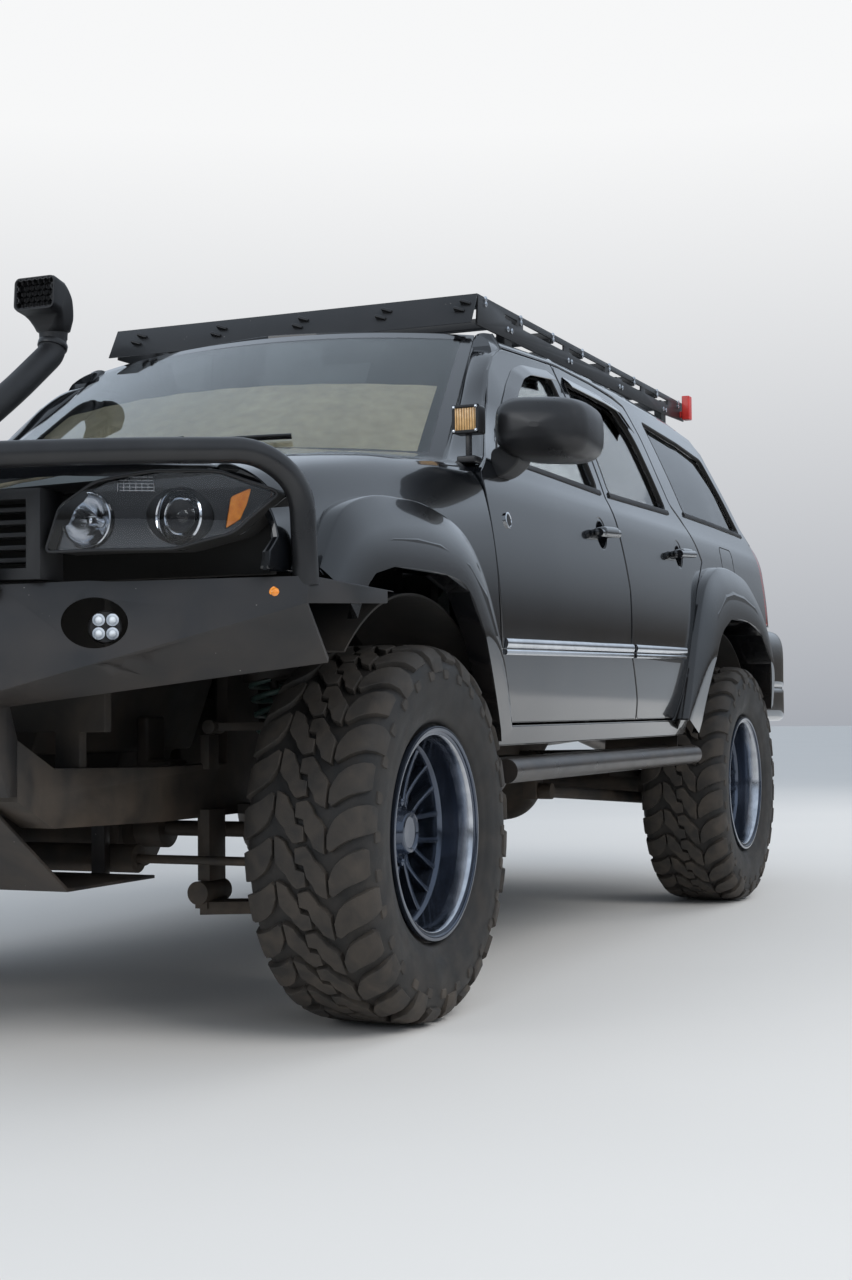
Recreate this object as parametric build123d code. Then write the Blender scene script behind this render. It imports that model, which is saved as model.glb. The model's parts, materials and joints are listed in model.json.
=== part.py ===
from build123d import *
import math
import os

# A lifted off-road four-door 4x4, modelled as its separate pieces, in millimetres.
# X points to the vehicle's left, Y to its rear and Z up. While a piece is drawn, a station
# is counted rearwards from the front axle and a height from the ground. The finished
# pieces are moved so that the origin lies on the ground, midway along the vehicle.

# Overall sizes
wheelbase = 2790
front_reach = 1025
rear_reach = 3900
tyre_radius = 418
tyre_centre = 800
rear_axle_station = wheelbase
mid_station = (rear_reach - front_reach) / 2

# Clearances and walls
panel_gap = 7
seat_gap = 1
skin = 8
glass_thickness = 5
glass_inset = 14


# Small drawing helpers

def outline_face(plane, points, radius=0):
    """A flat face from its corner points, each corner rounded where a radius is given."""
    if radius:
        line = FilletPolyline(*points, radius=radius, close=True)
    else:
        line = Polyline(*points, close=True)
    return plane * make_face(line)


def across(points, x_from, x_to, radius=0):
    """An outline of (station, height) points, carried across the vehicle."""
    face = outline_face(Plane.YZ.offset(x_from), points, radius)
    return extrude(face, amount=x_to - x_from, dir=(1, 0, 0))


def along(points, station_from, station_to, radius=0):
    """An outline of (half width, height) points, carried along the vehicle."""
    plane = Plane(origin=(0, station_from, 0), x_dir=(1, 0, 0), z_dir=(0, -1, 0))
    face = outline_face(plane, points, radius)
    return extrude(face, amount=station_to - station_from, dir=(0, 1, 0))


def upward(points, z_from, z_to, radius=0):
    """An outline of (half width, station) points, carried upwards."""
    face = outline_face(Plane.XY.offset(z_from), points, radius)
    return extrude(face, amount=z_to - z_from, dir=(0, 0, 1))


def block(x_range, y_range, z_range):
    """A plain box between two corners."""
    size = [high - low for low, high in (x_range, y_range, z_range)]
    middle = [(high + low) / 2 for low, high in (x_range, y_range, z_range)]
    return Pos(*middle) * Box(*size)


def rod(start, end, radius, bore=0):
    """A round bar, or a tube, between two points."""
    start, end = Vector(start), Vector(end)
    plane = Plane(origin=start, z_dir=(end - start))
    bar = extrude(plane * Circle(radius), amount=(end - start).length)
    if bore:
        bar -= extrude(plane * Circle(bore), amount=(end - start).length)
    return bar


def bent_tube(points, radius, bend):
    """A round tube along straight runs joined by bends."""
    path = FilletPolyline(*points, radius=bend)
    start = Plane(origin=path @ 0, z_dir=path % 0)
    return sweep(start * Circle(radius), path=path)


def other_side(shape):
    """The same piece on the other side of the centre line."""
    return mirror(shape, about=Plane.YZ)


def turned(points):
    """A solid of revolution about the wheel axis from (x, radius) points."""
    face = make_face(Polyline(*points, close=True))
    return revolve(face, axis=Axis.X)


def ruled_solid(faces):
    """A solid through like faces, with straight lines between them."""
    return loft(faces, ruled=True)


# Body side surface
# Columns: height, half width at the widest station. Every second row is a point that an
# arc passes through. Rows above the belt follow the glasshouse.
side_levels = [
    (590, 872),
    (655, 889),
    (730, 903),
    (960, 917),
    (1200, 896),
    (1258, 884),
    (1300, 866),
    (1500, 796),
    (1690, 716),
    (1724, 697),
    (1748, 652),
]
belt_row = 6
# Columns: height, half width of the wall's inner face.
inner_levels = [
    (1716, 652),
    (1690, 668),
    (1500, 748),
    (1318, 806),
    (1240, 780),
    (720, 770),
    (590, 780),
]
# Columns: station, narrowing of the body, further narrowing of the glasshouse, roof drop.
side_stations = [
    (340, 3, 56, 40),
    (620, 2, 50, 34),
    (900, 0, 26, 22),
    (1450, 0, 0, 4),
    (2100, 6, 0, 0),
    (2700, 20, 2, 6),
    (3100, 36, 8, 20),
    (3350, 50, 24, 36),
    (3560, 76, 52, 52),
    (3690, 130, 60, 60),
]


def side_point(level, station_row):
    """One corner of the body section at a station, as (half width, height)."""
    height, half_width = level
    station, narrowing, glass_narrowing, roof_drop = station_row
    if height > 1300:
        half_width -= glass_narrowing
    if height > 1600:
        height -= roof_drop
    return (half_width - narrowing, height)


def section_plane(station):
    return Plane(origin=(0, station, 0), x_dir=(1, 0, 0), z_dir=(0, -1, 0))


def side_curve(rows, station_row, inset=0):
    """Arcs through the outer surface's points, moved inwards by an inset."""
    points = []
    for level in rows:
        x, z = side_point(level, station_row)
        points.append((x - inset, z))
    arcs = []
    for index in range(0, len(points) - 2, 2):
        arcs.append(ThreePointArc(points[index], points[index + 1], points[index + 2]))
    return arcs, points


def side_wall():
    """The left body wall, solid, over the whole length of the cab and load space."""
    faces = []
    for station_row in side_stations:
        arcs, outer = side_curve(side_levels, station_row)
        inner = [side_point(level, station_row) for level in inner_levels]
        closing = Polyline(outer[-1], *inner, outer[0])
        faces.append(section_plane(station_row[0]) * make_face(arcs + [closing]))
    return ruled_solid(faces)


def side_sheet(first, last, inset, thickness):
    """A thin sheet that follows the outer surface between two levels."""
    rows = side_levels[first:last + 1]
    faces = []
    for station_row in side_stations:
        outer_arcs, outer = side_curve(rows, station_row, inset)
        inner_arcs, inner = side_curve(rows, station_row, inset + thickness)
        ends = [Line(outer[-1], inner[-1]), Line(inner[0], outer[0])]
        faces.append(section_plane(station_row[0]) * make_face(outer_arcs + inner_arcs + ends))
    return ruled_solid(faces)


# Outlines on the side of the body, as (station, height)
front_cut = [(508, 655), (480, 711), (442, 857), (413, 1050), (397, 1195), (389, 1262)]
door_split = [(1400, 1300), (1432, 1196), (1478, 1036), (1478, 860), (1580, 713), (1600, 655)]
rear_cut = [(2162, 1358), (2262, 1306), (2388, 1184), (2258, 1078), (2163, 920), (2085, 750), (2025, 655)]
front_door_outline = (
    front_cut
    + [(489, 1315), (621, 1401), (748, 1498), (857, 1601), (937, 1654), (1036, 1692), (1392, 1706)]
    + door_split
)
rear_door_outline = (
    [(y + panel_gap, z) for y, z in reversed(door_split)]
    + [(1399, 1706), (1750, 1703), (1960, 1692), (2062, 1676), (2108, 1574), (2128, 1456)]
    + rear_cut
)
door_opening = (
    [(501, 648), (473, 709), (435, 856), (406, 1050), (390, 1195), (382, 1268)]
    + [(483, 1319), (616, 1406), (743, 1503), (852, 1607), (933, 1660), (1034, 1699), (1392, 1713)]
    + [(1750, 1710), (1961, 1699), (2067, 1681), (2115, 1575), (2135, 1458), (2166, 1363)]
    + [(2267, 1311), (2398, 1184), (2265, 1075), (2170, 917), (2092, 747), (2032, 648)]
)
front_window = [(590, 1331), (806, 1469), (932, 1557), (1040, 1620), (1130, 1648), (1340, 1664), (1352, 1320)]
rear_window = [(1452, 1320), (1442, 1664), (1760, 1661), (1930, 1650), (2015, 1560), (2085, 1330)]
quarter_window = [(2330, 1345), (2235, 1652), (3090, 1626), (3210, 1490), (3262, 1350)]
window_corner = 28
body_outline = [
    (505, 598),
    (505, 660),
    (960, 1690),
    (1010, 1740),
    (1200, 1800),
    (3380, 1800),
    (3440, 1690),
    (3556, 1480),
    (3640, 1300),
    (3672, 1180),
    (3676, 1004),
    (3206, 1004),
    (3206, 598),
]

# Wheel openings, as (station from that axle, height)
front_flare_edge = [
    (-560, 960), (-500, 1050), (-440, 1096), (-320, 1128), (-180, 1137), (-40, 1134),
    (150, 1098), (275, 1020), (360, 900), (418, 760), (465, 640),
]
front_arch = [
    (-560, 560), (-490, 800), (-440, 905), (-375, 965), (-280, 985), (0, 985),
    (125, 955), (228, 850), (332, 720), (415, 600), (440, 560),
]
rear_flare_edge = [
    (-745, 648), (-690, 750), (-612, 920), (-515, 1080), (-385, 1152), (-270, 1168),
    (-100, 1160), (80, 1130), (270, 1040), (390, 900), (414, 700),
]
rear_arch = [
    (-600, 560), (-555, 720), (-485, 860), (-400, 945), (-280, 990), (-40, 990),
    (160, 950), (300, 850), (385, 700), (390, 560),
]
# Outer limit of both overfenders, as (half width, height): they draw in towards the sill.
flare_limit = [(700, 500), (906, 500), (926, 640), (957, 860), (957, 1300), (700, 1300)]
flare_ledge = 926
flare_lip = 957
flare_slope = 0.88
pillar_foot = 1262


def shifted(points, station):
    return [(y + station, z) for y, z in points]


def flare(edge_points, arch_points, station):
    """One overfender: a ledge that slopes out to the lip of the wheel opening."""
    edge = shifted(edge_points, station) + [(arch_points[-1][0] + station, edge_points[-1][1])]
    edge = edge + [(arch_points[0][0] + station, edge_points[0][1])]
    lip = [
        (station + (y - station) * flare_slope, tyre_radius + (z - tyre_radius) * flare_slope)
        for y, z in edge
    ]
    low = outline_face(Plane.YZ.offset(850), edge)
    mid = outline_face(Plane.YZ.offset(flare_ledge), edge)
    high = outline_face(Plane.YZ.offset(flare_lip), lip)
    body = ruled_solid([low, mid]) + ruled_solid([mid, high])
    body = body & along(flare_limit, station - 900, station + 900)
    return body - across(shifted(arch_points, station), 700, 1000)


# Windscreen pillar
# Columns: height, corner at the door, corner at the glass, half width of the inner face.
pillar_rows = [
    (1262, (868, 382), (757, 385), 772),
    (1315, (852, 480), (740, 486), 790),
    (1401, (803, 611), (714, 602), 744),
    (1498, (756, 738), (684, 727), 698),
    (1601, (722, 847), (652, 855), 664),
    (1654, (706, 927), (636, 922), 648),
    (1692, (693, 1026), (624, 975), 634),
    (1738, (664, 1034), (611, 1034), 620),
]
pillar_depth = 50


def windscreen_pillar():
    """The pillar from the scuttle to the roof, between the glass and the door."""
    faces = []
    for height, door_corner, glass_corner, inner_x in pillar_rows:
        outer_x, outer_y = door_corner
        glass_x, glass_y = glass_corner
        back = max(outer_y, glass_y) + pillar_depth
        points = [
            (outer_x, outer_y),
            (glass_x, glass_y),
            (glass_x - 12, back),
            (inner_x, back),
            (inner_x, max(outer_y, glass_y) + 2),
        ]
        faces.append(outline_face(Plane.XY.offset(height), points))
    return ruled_solid(faces)


floor_half_width = 696
floor_top = 640
floor_sheet = 20


def body_side(wall):
    """Left side: sill, pillars, roof rail and rear quarter, with door and window cuts."""
    side = wall & across(body_outline, 500, 1000)
    side -= across(door_opening, 500, 1000)
    side -= across(quarter_window, 500, 1000, window_corner)
    side -= across(shifted(rear_arch, rear_axle_station), 700, 1000)
    side -= across(tail_lamp_outline, 500, 1000)
    overfender = flare(rear_flare_edge, rear_arch, rear_axle_station)
    overfender -= block((700, 1000), (3206, 3400), (500, 1004))
    side += overfender - across(door_opening, 500, 1000)
    side += windscreen_pillar()
    side += block((floor_half_width, 770), (338, 380), (770, pillar_foot))
    side += block((floor_half_width, 845), (338, 380), (1150, pillar_foot))
    side += block((floor_half_width, 790), (535, 2010), (598, floor_top))
    centre_pillar = loft(
        [
            Plane.XY.offset(620) * Pos(730, 1560) * Rectangle(60, 90),
            Plane.XY.offset(1290) * Pos(706, 1450) * Rectangle(52, 90),
            Plane.XY.offset(1722) * Pos(612, 1400) * Rectangle(36, 90),
        ],
        ruled=True,
    )
    side += centre_pillar
    side += block((596, 668), (1355, 1445), (1714, 1728))
    return side - tailgate_room()


door_skin = 32
door_step = 18


def largest(shape):
    """The main solid of a shape whose cuts may leave a sliver beside it."""
    return max(shape.solids(), key=lambda solid: solid.volume)


def door(wall, skin_sheet, outline, window, handle_station, strip_start):
    """A door: an outer panel up to the gap, with a box behind it that stands back from its edge."""
    face = outline_face(Plane.YZ.offset(500), outline)
    box_face = offset(face, amount=-door_step, kind=Kind.INTERSECTION)
    piece = skin_sheet & across(outline, 500, 1000)
    piece += wall & extrude(box_face, amount=500, dir=(1, 0, 0))
    piece -= across(window, 500, 1000, window_corner)
    pillar = windscreen_pillar()
    piece = piece - pillar - Pos(0, 5, -3) * pillar
    strip_sheet = side_sheet(0, 4, -moulding_stand, moulding_stand + 4)
    strip_sheet &= across([(strip_start, 800), (strip_start, 900), (2100, 900), (2100, 800)], 800, 1000)
    for line in moulding_lines:
        piece += strip_sheet & across(line, 800, 1000) & across(outline, 800, 1000)
    piece -= Pos(recess_centre, handle_station, handle_height) * Sphere(recess_radius)
    return largest(piece + pull_handle(handle_station))


# Door handle: a bar across a round recess
handle_height = 1186
handle_reach = 84
handle_outer = 934
recess_centre = 938
recess_radius = 58


def pull_handle(station):
    """A bar that spans the recess, thicker at its ends where it meets the door."""
    bar = rod((handle_outer - 12, station - handle_reach, handle_height - 5),
              (handle_outer - 12, station + handle_reach, handle_height + 5), 12)
    for end in (-1, 1):
        y = station + end * (handle_reach - 14)
        z = handle_height + end * 4
        bar += rod((870, y, z), (handle_outer - 12, y, z), 11)
    return bar


# Bright strips along the doors, as (station, height)
moulding_stand = 9
front_strip_start = 452
rear_strip_start = 1507
moulding_lines = [
    [(452, 839), (452, 861), (2064, 883), (2078, 872), (2064, 861)],
    [(452, 823), (452, 834), (2062, 856), (2062, 845)],
]


def door_glass(sheet, window):
    """The pane that fills a window."""
    return sheet & across(window, 500, 1000, window_corner)


# Front wing skin
# Columns: station, narrowing of the body, height and half width of the edge at the hood.
wing_stations = [
    (-700, 38, 1158, 784),
    (-450, 18, 1204, 771),
    (-150, 9, 1251, 768),
    (150, 5, 1284, 765),
    (440, 3, 1306, 752),
]
wing_target = (450, 850)


def wing_section(row, inset):
    station, narrowing, edge_height, edge_x = row
    points = [
        (876 - narrowing, 600),
        (908 - narrowing, 780),
        (917 - narrowing, 960),
        (911 - narrowing, (960 + edge_height) / 2 - 20),
        (894 - narrowing, edge_height - 92),
        ((894 - narrowing + edge_x) / 2 + 26, edge_height - 26),
        (edge_x, edge_height),
    ]
    if inset == 0:
        return points
    moved = []
    for x, z in points:
        dx, dz = wing_target[0] - x, wing_target[1] - z
        size = math.hypot(dx, dz)
        moved.append((x + dx / size * inset, z + dz / size * inset))
    return moved


def front_wing():
    """One front wing: a thin skin with its overfender and wheel opening."""
    faces = []
    for row in wing_stations:
        outer, inner = wing_section(row, 0), wing_section(row, skin)
        edges = []
        for line in (outer, inner):
            for index in (0, 2, 4):
                edges.append(ThreePointArc(line[index], line[index + 1], line[index + 2]))
        edges.append(Line(outer[-1], inner[-1]))
        edges.append(Line(outer[0], inner[0]))
        faces.append(section_plane(row[0]) * make_face(edges))
    shell = ruled_solid(faces)
    outline = [
        (-700, 1150), (-640, 1108), (-655, 1020), (-690, 990), (-690, 955), (-560, 955),
        (-560, 600), (501, 640), (473, 709), (435, 856), (406, 1050), (390, 1195), (382, 1254),
        (372, 1400), (-700, 1400),
    ]
    wing = shell & across(outline, 500, 1000)
    wing -= across(shifted(front_arch, 0), 500, 1000)
    overfender = flare(front_flare_edge, front_arch, 0) - across(door_opening, 500, 1000)
    overfender -= block((700, flare_ledge - 3 * skin), (-700, 600), (500, 1300))
    wing += overfender
    wing -= block((800, 1000), (-800, -392), (500, 953))
    return wing - headlamp(lamp_gap)


# Hood, windscreen and roof
# Columns: station, height at the edge, height at the crown, half width.
hood_rows = [
    (-960, 1098, 1135, 740),
    (-860, 1130, 1185, 765),
    (-700, 1158, 1222, 772),
    (-450, 1204, 1264, 763),
    (-150, 1251, 1305, 760),
    (150, 1284, 1336, 757),
    (420, 1304, 1352, 747),
]
hood_thickness = 24
hood_front = [(0, -940), (300, -918), (520, -868), (612, -836), (740, -762), (790, -700)]
hood_rear = [(758, 372), (500, 300), (0, 250)]


def hood():
    faces = []
    for station, edge, crown, half_width in hood_rows:
        top = ThreePointArc((-half_width, edge), (0, crown), (half_width, edge))
        low = ThreePointArc((half_width, edge - hood_thickness), (0, crown - hood_thickness),
                            (-half_width, edge - hood_thickness))
        ends = [Line(top @ 1, low @ 0), Line(low @ 1, top @ 0)]
        faces.append(section_plane(station) * make_face([top, low] + ends))
    panel = ruled_solid(faces)
    left = hood_front + hood_rear
    right = [(-x, y) for x, y in reversed(left) if x > 0]
    panel = panel & upward(left + right, 1000, 1400)
    lamp = headlamp(lamp_gap)
    return panel - lamp - other_side(lamp)


windscreen_base = [(742, 486, 1310), (0, 300, 1338)]
windscreen_top = [(610, 1032, 1738), (0, 940, 1766)]


def arc_through(half):
    side, middle = half
    return ThreePointArc((-side[0], side[1], side[2]), middle, side)


def windscreen():
    surface = Face.make_surface_from_curves(arc_through(windscreen_base), arc_through(windscreen_top))
    return thicken(surface, glass_thickness)


roof_edge = (652, 1748)
# Rise of the roof's crown over its edge, at the stations of the body side from the second on.
roof_rises = [40, 46, 60, 68, 66, 62, 56, 50]
roof_thickness = 28
roof_front = [(0, 948), (610, 1042), (800, 1060)]


def roof_panel():
    """The crowned roof between the two roof rails."""
    faces = []
    for rise, row in zip(roof_rises, side_stations[1:]):
        station, narrowing, glass_narrowing, drop = row
        half = roof_edge[0] - narrowing - glass_narrowing - seat_gap
        edge = roof_edge[1] - drop
        crown = edge + rise
        top = ThreePointArc((-half, edge), (0, crown), (half, edge))
        low = ThreePointArc((half, edge - roof_thickness), (0, crown - roof_thickness),
                            (-half, edge - roof_thickness))
        ends = [Line(top @ 1, low @ 0), Line(low @ 1, top @ 0)]
        faces.append(section_plane(station) * make_face([top, low] + ends))
    panel = ruled_solid(faces)
    left = roof_front + [(800, 3312)]
    plan = left + [(0, 3352)] + [(-x, y) for x, y in reversed(left[1:])]
    return panel & upward(plan, 1600, 1900)


# Tailgate
tailgate_profile = [
    (3735, 910), (3742, 1050), (3735, 1180), (3700, 1300), (3618, 1470), (3520, 1640),
    (3440, 1745), (3366, 1780),
]
tailgate_thickness = 62
tailgate_half_width = 650


def tailgate_faces(inset, thickness):
    """Sections across the vehicle: the middle stands further back than the sides."""
    faces = []
    for x, forward in ((-tailgate_half_width, 34), (0, 0), (tailgate_half_width, 34)):
        outer = [(y - forward - inset, z) for y, z in tailgate_profile]
        inner = [(y - thickness, z - thickness * 0.35) for y, z in outer[1:]]
        inner.insert(0, (outer[0][0] - thickness, outer[0][1]))
        inner[-1] = (outer[-1][0], outer[-1][1] - thickness * 0.5)
        line = outer + list(reversed(inner))
        faces.append(outline_face(Plane.YZ.offset(x), line))
    return faces


tailgate_outline = [
    (600, 912), (640, 960), (640, 1290), (585, 1696), (560, 1716), (420, 1742), (210, 1762),
]
tailgate_window = [(545, 1335), (500, 1650), (-500, 1650), (-545, 1335)]


def both_sides(points):
    return points + [(-x, z) for x, z in reversed(points)]


def tailgate():
    """The lifting rear door, curved in plan and in profile, with its window cut."""
    body = ruled_solid(tailgate_faces(0, tailgate_thickness))
    body = body & along(both_sides(tailgate_outline), 3200, 3900, 20)
    return body - along(tailgate_window, 3200, 3900, 40)


def tailgate_room():
    """The opening that the tailgate closes, with the panel gap all round."""
    low = [(607, 890), (647, 960), (647, 1290), (591, 1707)]
    room = along(both_sides(low), 3250, 4000)
    return room + along(both_sides([(591, 1707), (565, 1900)]), 3325, 4000)


def tailgate_glass():
    body = ruled_solid(tailgate_faces(12, glass_thickness))
    return body & along(tailgate_window, 3200, 3900, 40)


tail_lamp_outline = [(3490, 1010), (3470, 1330), (3800, 1330), (3800, 1010)]


def tail_lamp(wall):
    """A lamp that fills the corner of the body beside the tailgate."""
    lamp = wall & across(tail_lamp_outline, 500, 1000) & across(body_outline, 500, 1000)
    return lamp - tailgate_room()


# Wheels
rim_outer = [
    (130, 236), (119, 236), (112, 222), (60, 215), (34, 205), (-62, 205),
    (-96, 216), (-113, 222), (-119, 234), (-126, 234),
]
rim_inner = [(-126, 224), (-104, 210), (-64, 197), (30, 197), (48, 206), (112, 211), (130, 215)]
tyre_tip = tyre_radius
tread_depth = 15
tread_half_width = 132
lug_pitches = 18
lug_turn_in = 1
bead_radius = 222
bead_clearance = 0.3
tyre_reach = 150
# Columns: station across the tyre, radius of the casing.
casing_rows = [(-144, 322), (-128, 400), (128, 400), (144, 322)]
sidewall_rows = [(111, 242), (145, 318)]
spoke_count = 10


def wheel_polygon(x, radii):
    """A closed outline about the wheel axis from one radius per corner."""
    count = len(radii)
    points = []
    for index, radius in enumerate(radii):
        angle = 2 * math.pi * index / count
        points.append((radius * math.sin(angle), -radius * math.cos(angle)))
    return outline_face(Plane.YZ.offset(x), points)


def lug_ring(x, tip, turn):
    """A toothed outline: each lug is as wide as the gap beside it. Rows keep one shape, so faces stay flat."""
    root = tip * (1 - tread_depth / tyre_tip)
    points = []
    step = 2 * math.pi / lug_pitches
    for index in range(lug_pitches):
        for share, radius in ((-0.30, tip), (0.30, tip), (0.36, root), (0.64, root)):
            angle = (index + share + turn) * step
            points.append((radius * math.sin(angle), -radius * math.cos(angle)))
    return outline_face(Plane.YZ.offset(x), points)


def plain_ring(x, radius):
    return wheel_polygon(x, [radius] * lug_pitches)


def tyre():
    """A tyre with two rows of lugs that run over the shoulder, half a pitch apart."""
    casing = ruled_solid([plain_ring(x, radius) for x, radius in casing_rows])
    tip = tyre_tip + lug_turn_in
    body = casing
    for side in (-1, 1):
        turn = 0.25 - side * 0.25
        body += ruled_solid([
            lug_ring(0, tip, turn),
            lug_ring(side * (tread_half_width - 30), tip - 1, turn),
            lug_ring(side * (tread_half_width + 6), tip - 22, turn),
        ])
    flat = math.cos(math.pi / lug_pitches)
    bore = (bead_radius + bead_clearance) / flat
    body -= ruled_solid([plain_ring(x, bore) for x in (-tyre_reach, tyre_reach)])
    for side in (-1, 1):
        body -= ruled_solid([plain_ring(side * x, radius) for x, radius in sidewall_rows])
    return body


def rim():
    """A deep dished rim with ten forked spokes, its hub and its brake disc."""
    barrel = turned(rim_outer + rim_inner)
    hub = turned([(-40, 30), (-40, 82), (18, 82), (34, 66), (34, 46), (58, 46), (62, 34), (62, 30)])
    centre = turned([(18, 30), (18, 82), (34, 66), (34, 30)])
    disc = turned([(-62, 60), (-62, 160), (-40, 160), (-40, 60)])
    wheel = barrel + hub + centre + disc
    spoke = loft(
        [
            Plane.XY.offset(60) * Pos(14, 0) * Rectangle(30, 34),
            Plane.XY.offset(118) * Pos(16, 0) * Rectangle(24, 26),
        ],
        ruled=True,
    )
    fork = None
    for sign in (-1, 1):
        arm = loft(
            [
                Plane.XY.offset(112) * Pos(16, sign * 5) * Rectangle(24, 17),
                Plane.XY.offset(198) * Pos(26, sign * 34) * Rectangle(26, 17),
            ],
            ruled=True,
        )
        fork = arm if fork is None else fork + arm
    spoke = spoke + fork
    ring = turned([(8, 203), (40, 203), (40, 194), (8, 194)])
    wheel += ring
    for index in range(spoke_count):
        wheel += Rot(360 / spoke_count * index, 0, 0) * spoke
    return wheel


# Front suspension and steering
steer_arm = 177
link_height = 360
rail_inner = 330
rail_outer = 408


def knuckle():
    """Upright between the two ball joints, with the steering arm and stub axle."""
    upright = loft(
        [
            Plane.XY.offset(296) * Pos(666, 0) * Rectangle(44, 90),
            Plane.XY.offset(418) * Pos(672, 0) * Rectangle(52, 130),
            Plane.XY.offset(520) * Pos(628, 0) * Rectangle(38, 60),
            Plane.XY.offset(627) * Pos(600, 0) * Rectangle(36, 40),
        ],
        ruled=True,
    )
    hub_carrier = rod((640, 0, tyre_radius), (tyre_centre - 66, 0, tyre_radius), 62)
    stub = rod((720, 0, tyre_radius), (tyre_centre - 10, 0, tyre_radius), 28)
    arm = block((634, 668), (-steer_arm - 18, -20), (link_height + 42, link_height + 62))
    caliper = block((700, 734), (96, 168), (360, 470))
    bracket = block((652, 710), (40, 150), (380, 450))
    return upright + hub_carrier + stub + arm + caliper + bracket


arm_low_height = 250


def front_arms():
    """Both lower arms and both upper arms, hung from the frame."""
    lower_plan = [
        (412, -150), (560, -70), (640, -34), (690, -34), (690, 34), (640, 34), (560, 126),
        (412, 250), (412, 160), (520, 70), (520, -20), (412, -60),
    ]
    lower = upward(lower_plan, arm_low_height - 14, arm_low_height + 14)
    for y_from, y_to in ((-160, -50), (145, 265)):
        lower += rod((412, y_from, 285), (412, y_to, 285), 26)
        lower += block((400, 430), (y_from + 10, y_to - 10), (250, 285))
    lower += rod((664, 0, 250), (664, 0, 289), 14)
    lower += block((540, 580), (80, 110), (250, strut_foot[2] - 22))
    upper_plan = [
        (412, -125), (600, -28), (628, -28), (628, 20), (584, 112), (540, 178), (412, 226),
        (412, 186), (526, 152), (562, 100), (576, 24), (412, -84),
    ]
    upper = upward(upper_plan, 646, 664)
    upper += rod((424, -130, 655), (424, -78, 655), 16) + rod((424, 190, 655), (424, 240, 655), 16)
    upper += rod((598, 0, 635), (598, 0, 650), 12)
    return lower, upper


def coil(radius, core, wire, start, rise, turns, plane):
    """A coil spring drawn as ribs round a plain core, so that it stays light."""
    pitch = rise / turns
    points = [(0, start), (core, start)]
    for index in range(turns):
        middle = start + pitch * (index + 0.5)
        points += [(core, middle - wire), (radius, middle - wire / 2), (radius, middle + wire / 2),
                   (core, middle + wire)]
    points += [(core, start + rise), (0, start + rise)]
    face = make_face(Plane.XZ * Polyline(*points, close=True))
    return plane * revolve(face, axis=Axis.Z)


strut_foot = (560, 95, 290)
strut_head = (482, 62, 790)


def coilover():
    """Spring strut: damper body and rod with the spring seats and coils."""
    foot, head = Vector(*strut_foot), Vector(*strut_head)
    axis = (head - foot).normalized()
    plane = Plane(origin=foot, z_dir=axis, x_dir=(0, 1, 0))
    length = (head - foot).length
    body = plane * Pos(0, 0, length / 2) * Cylinder(20, length)
    seat = plane * Pos(0, 0, 176) * Cylinder(62, 12)
    collar = plane * Pos(0, 0, 160) * Cylinder(40, 22)
    top = plane * Pos(0, 0, length - 8) * Cylinder(70, 16)
    spring = coil(58, 43, 8, 182, length - 16 - 182, 9, plane)
    eye = rod((strut_foot[0], strut_foot[1] - 18, strut_foot[2]),
              (strut_foot[0], strut_foot[1] + 18, strut_foot[2]), 22)
    return body + seat + collar + top + spring + eye


frame_line = [
    (-820, 520), (-700, 462), (-300, 452), (420, 452), (560, 470), (1990, 470), (2280, 640),
    (3080, 640), (3300, 560), (3700, 560),
]
rail_height = 118


def ladder_frame():
    """Two rails with a kick-up over the rear axle, joined by cross members."""
    top = [(y, z + rail_height) for y, z in frame_line]
    rail = across(top + list(reversed(frame_line)), rail_inner, rail_outer)
    frame = rail + other_side(rail)
    cross_rows = [
        (-800, -740, 540, 600), (-210, -110, 450, 520), (150, 250, 470, 530),
        (1240, 1340, 440, 505), (2060, 2130, 560, 620), (3560, 3640, 575, 660),
    ]
    for y_from, y_to, z_from, z_to in cross_rows:
        frame += block((-rail_inner - 10, rail_inner + 10), (y_from, y_to), (z_from, z_to))
    side = across([(-20, 520), (140, 520), (130, 836), (-10, 836)], 380, rail_outer)
    side += block((380, 556), (-10, 134), (810, 824))
    for y in (900, 1700):
        side += rod((rail_outer - 30, y, 560), (rail_outer - 30, y, floor_top - floor_sheet), 28)
    for y in (-105, 200):
        lug = block((rail_outer - 6, 432), (y - 36, y + 36), (311, 470))
        side += lug
    for y in (-105, 215):
        side += block((rail_outer - 6, 424), (y - 22, y + 22), (560, 637))
    side += block((rail_outer - 6, 448), (1925, 1995), (395, 500))
    side += block((300, rail_inner + 6), (2165, 2235), (520, 640))
    side += block((rail_outer - 6, 550), (wheelbase - 50, wheelbase + 50), (spring_top, spring_top + 14))
    side += block((rail_outer - 6, 510), (wheelbase + 95, wheelbase + 145), (700, 716))
    side += block((rail_outer - 6, 470), (30, 90), (452, 474))
    side += rod((440, 60, 455), (440, 60, 392), 26)
    return frame + side + other_side(side)


floor_line = [
    (338, 1262), (370, 1262), (370, 640), (2000, 640), (2120, 868), (3600, 868), (3600, 700),
    (3570, 700), (3570, 842), (2136, 842), (2016, 620), (338, 620),
]
liner_radius = 530
liner_sheet = 5


def floor_pan():
    """Floor, bulkhead and load floor in one pressed sheet, with wheel wells left open."""
    floor = across(floor_line, -floor_half_width, floor_half_width)
    drum = rod((414, 0, tyre_radius), (720, 0, tyre_radius), liner_radius)
    well = block((600, 720), (2170, 3270), (600, 900))
    for cut in (drum, other_side(drum), well, other_side(well)):
        floor -= cut
    tunnel = across([(330, 600), (330, 800), (1500, 700), (1500, 600)], -170, 170)
    return floor - tunnel


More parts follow.
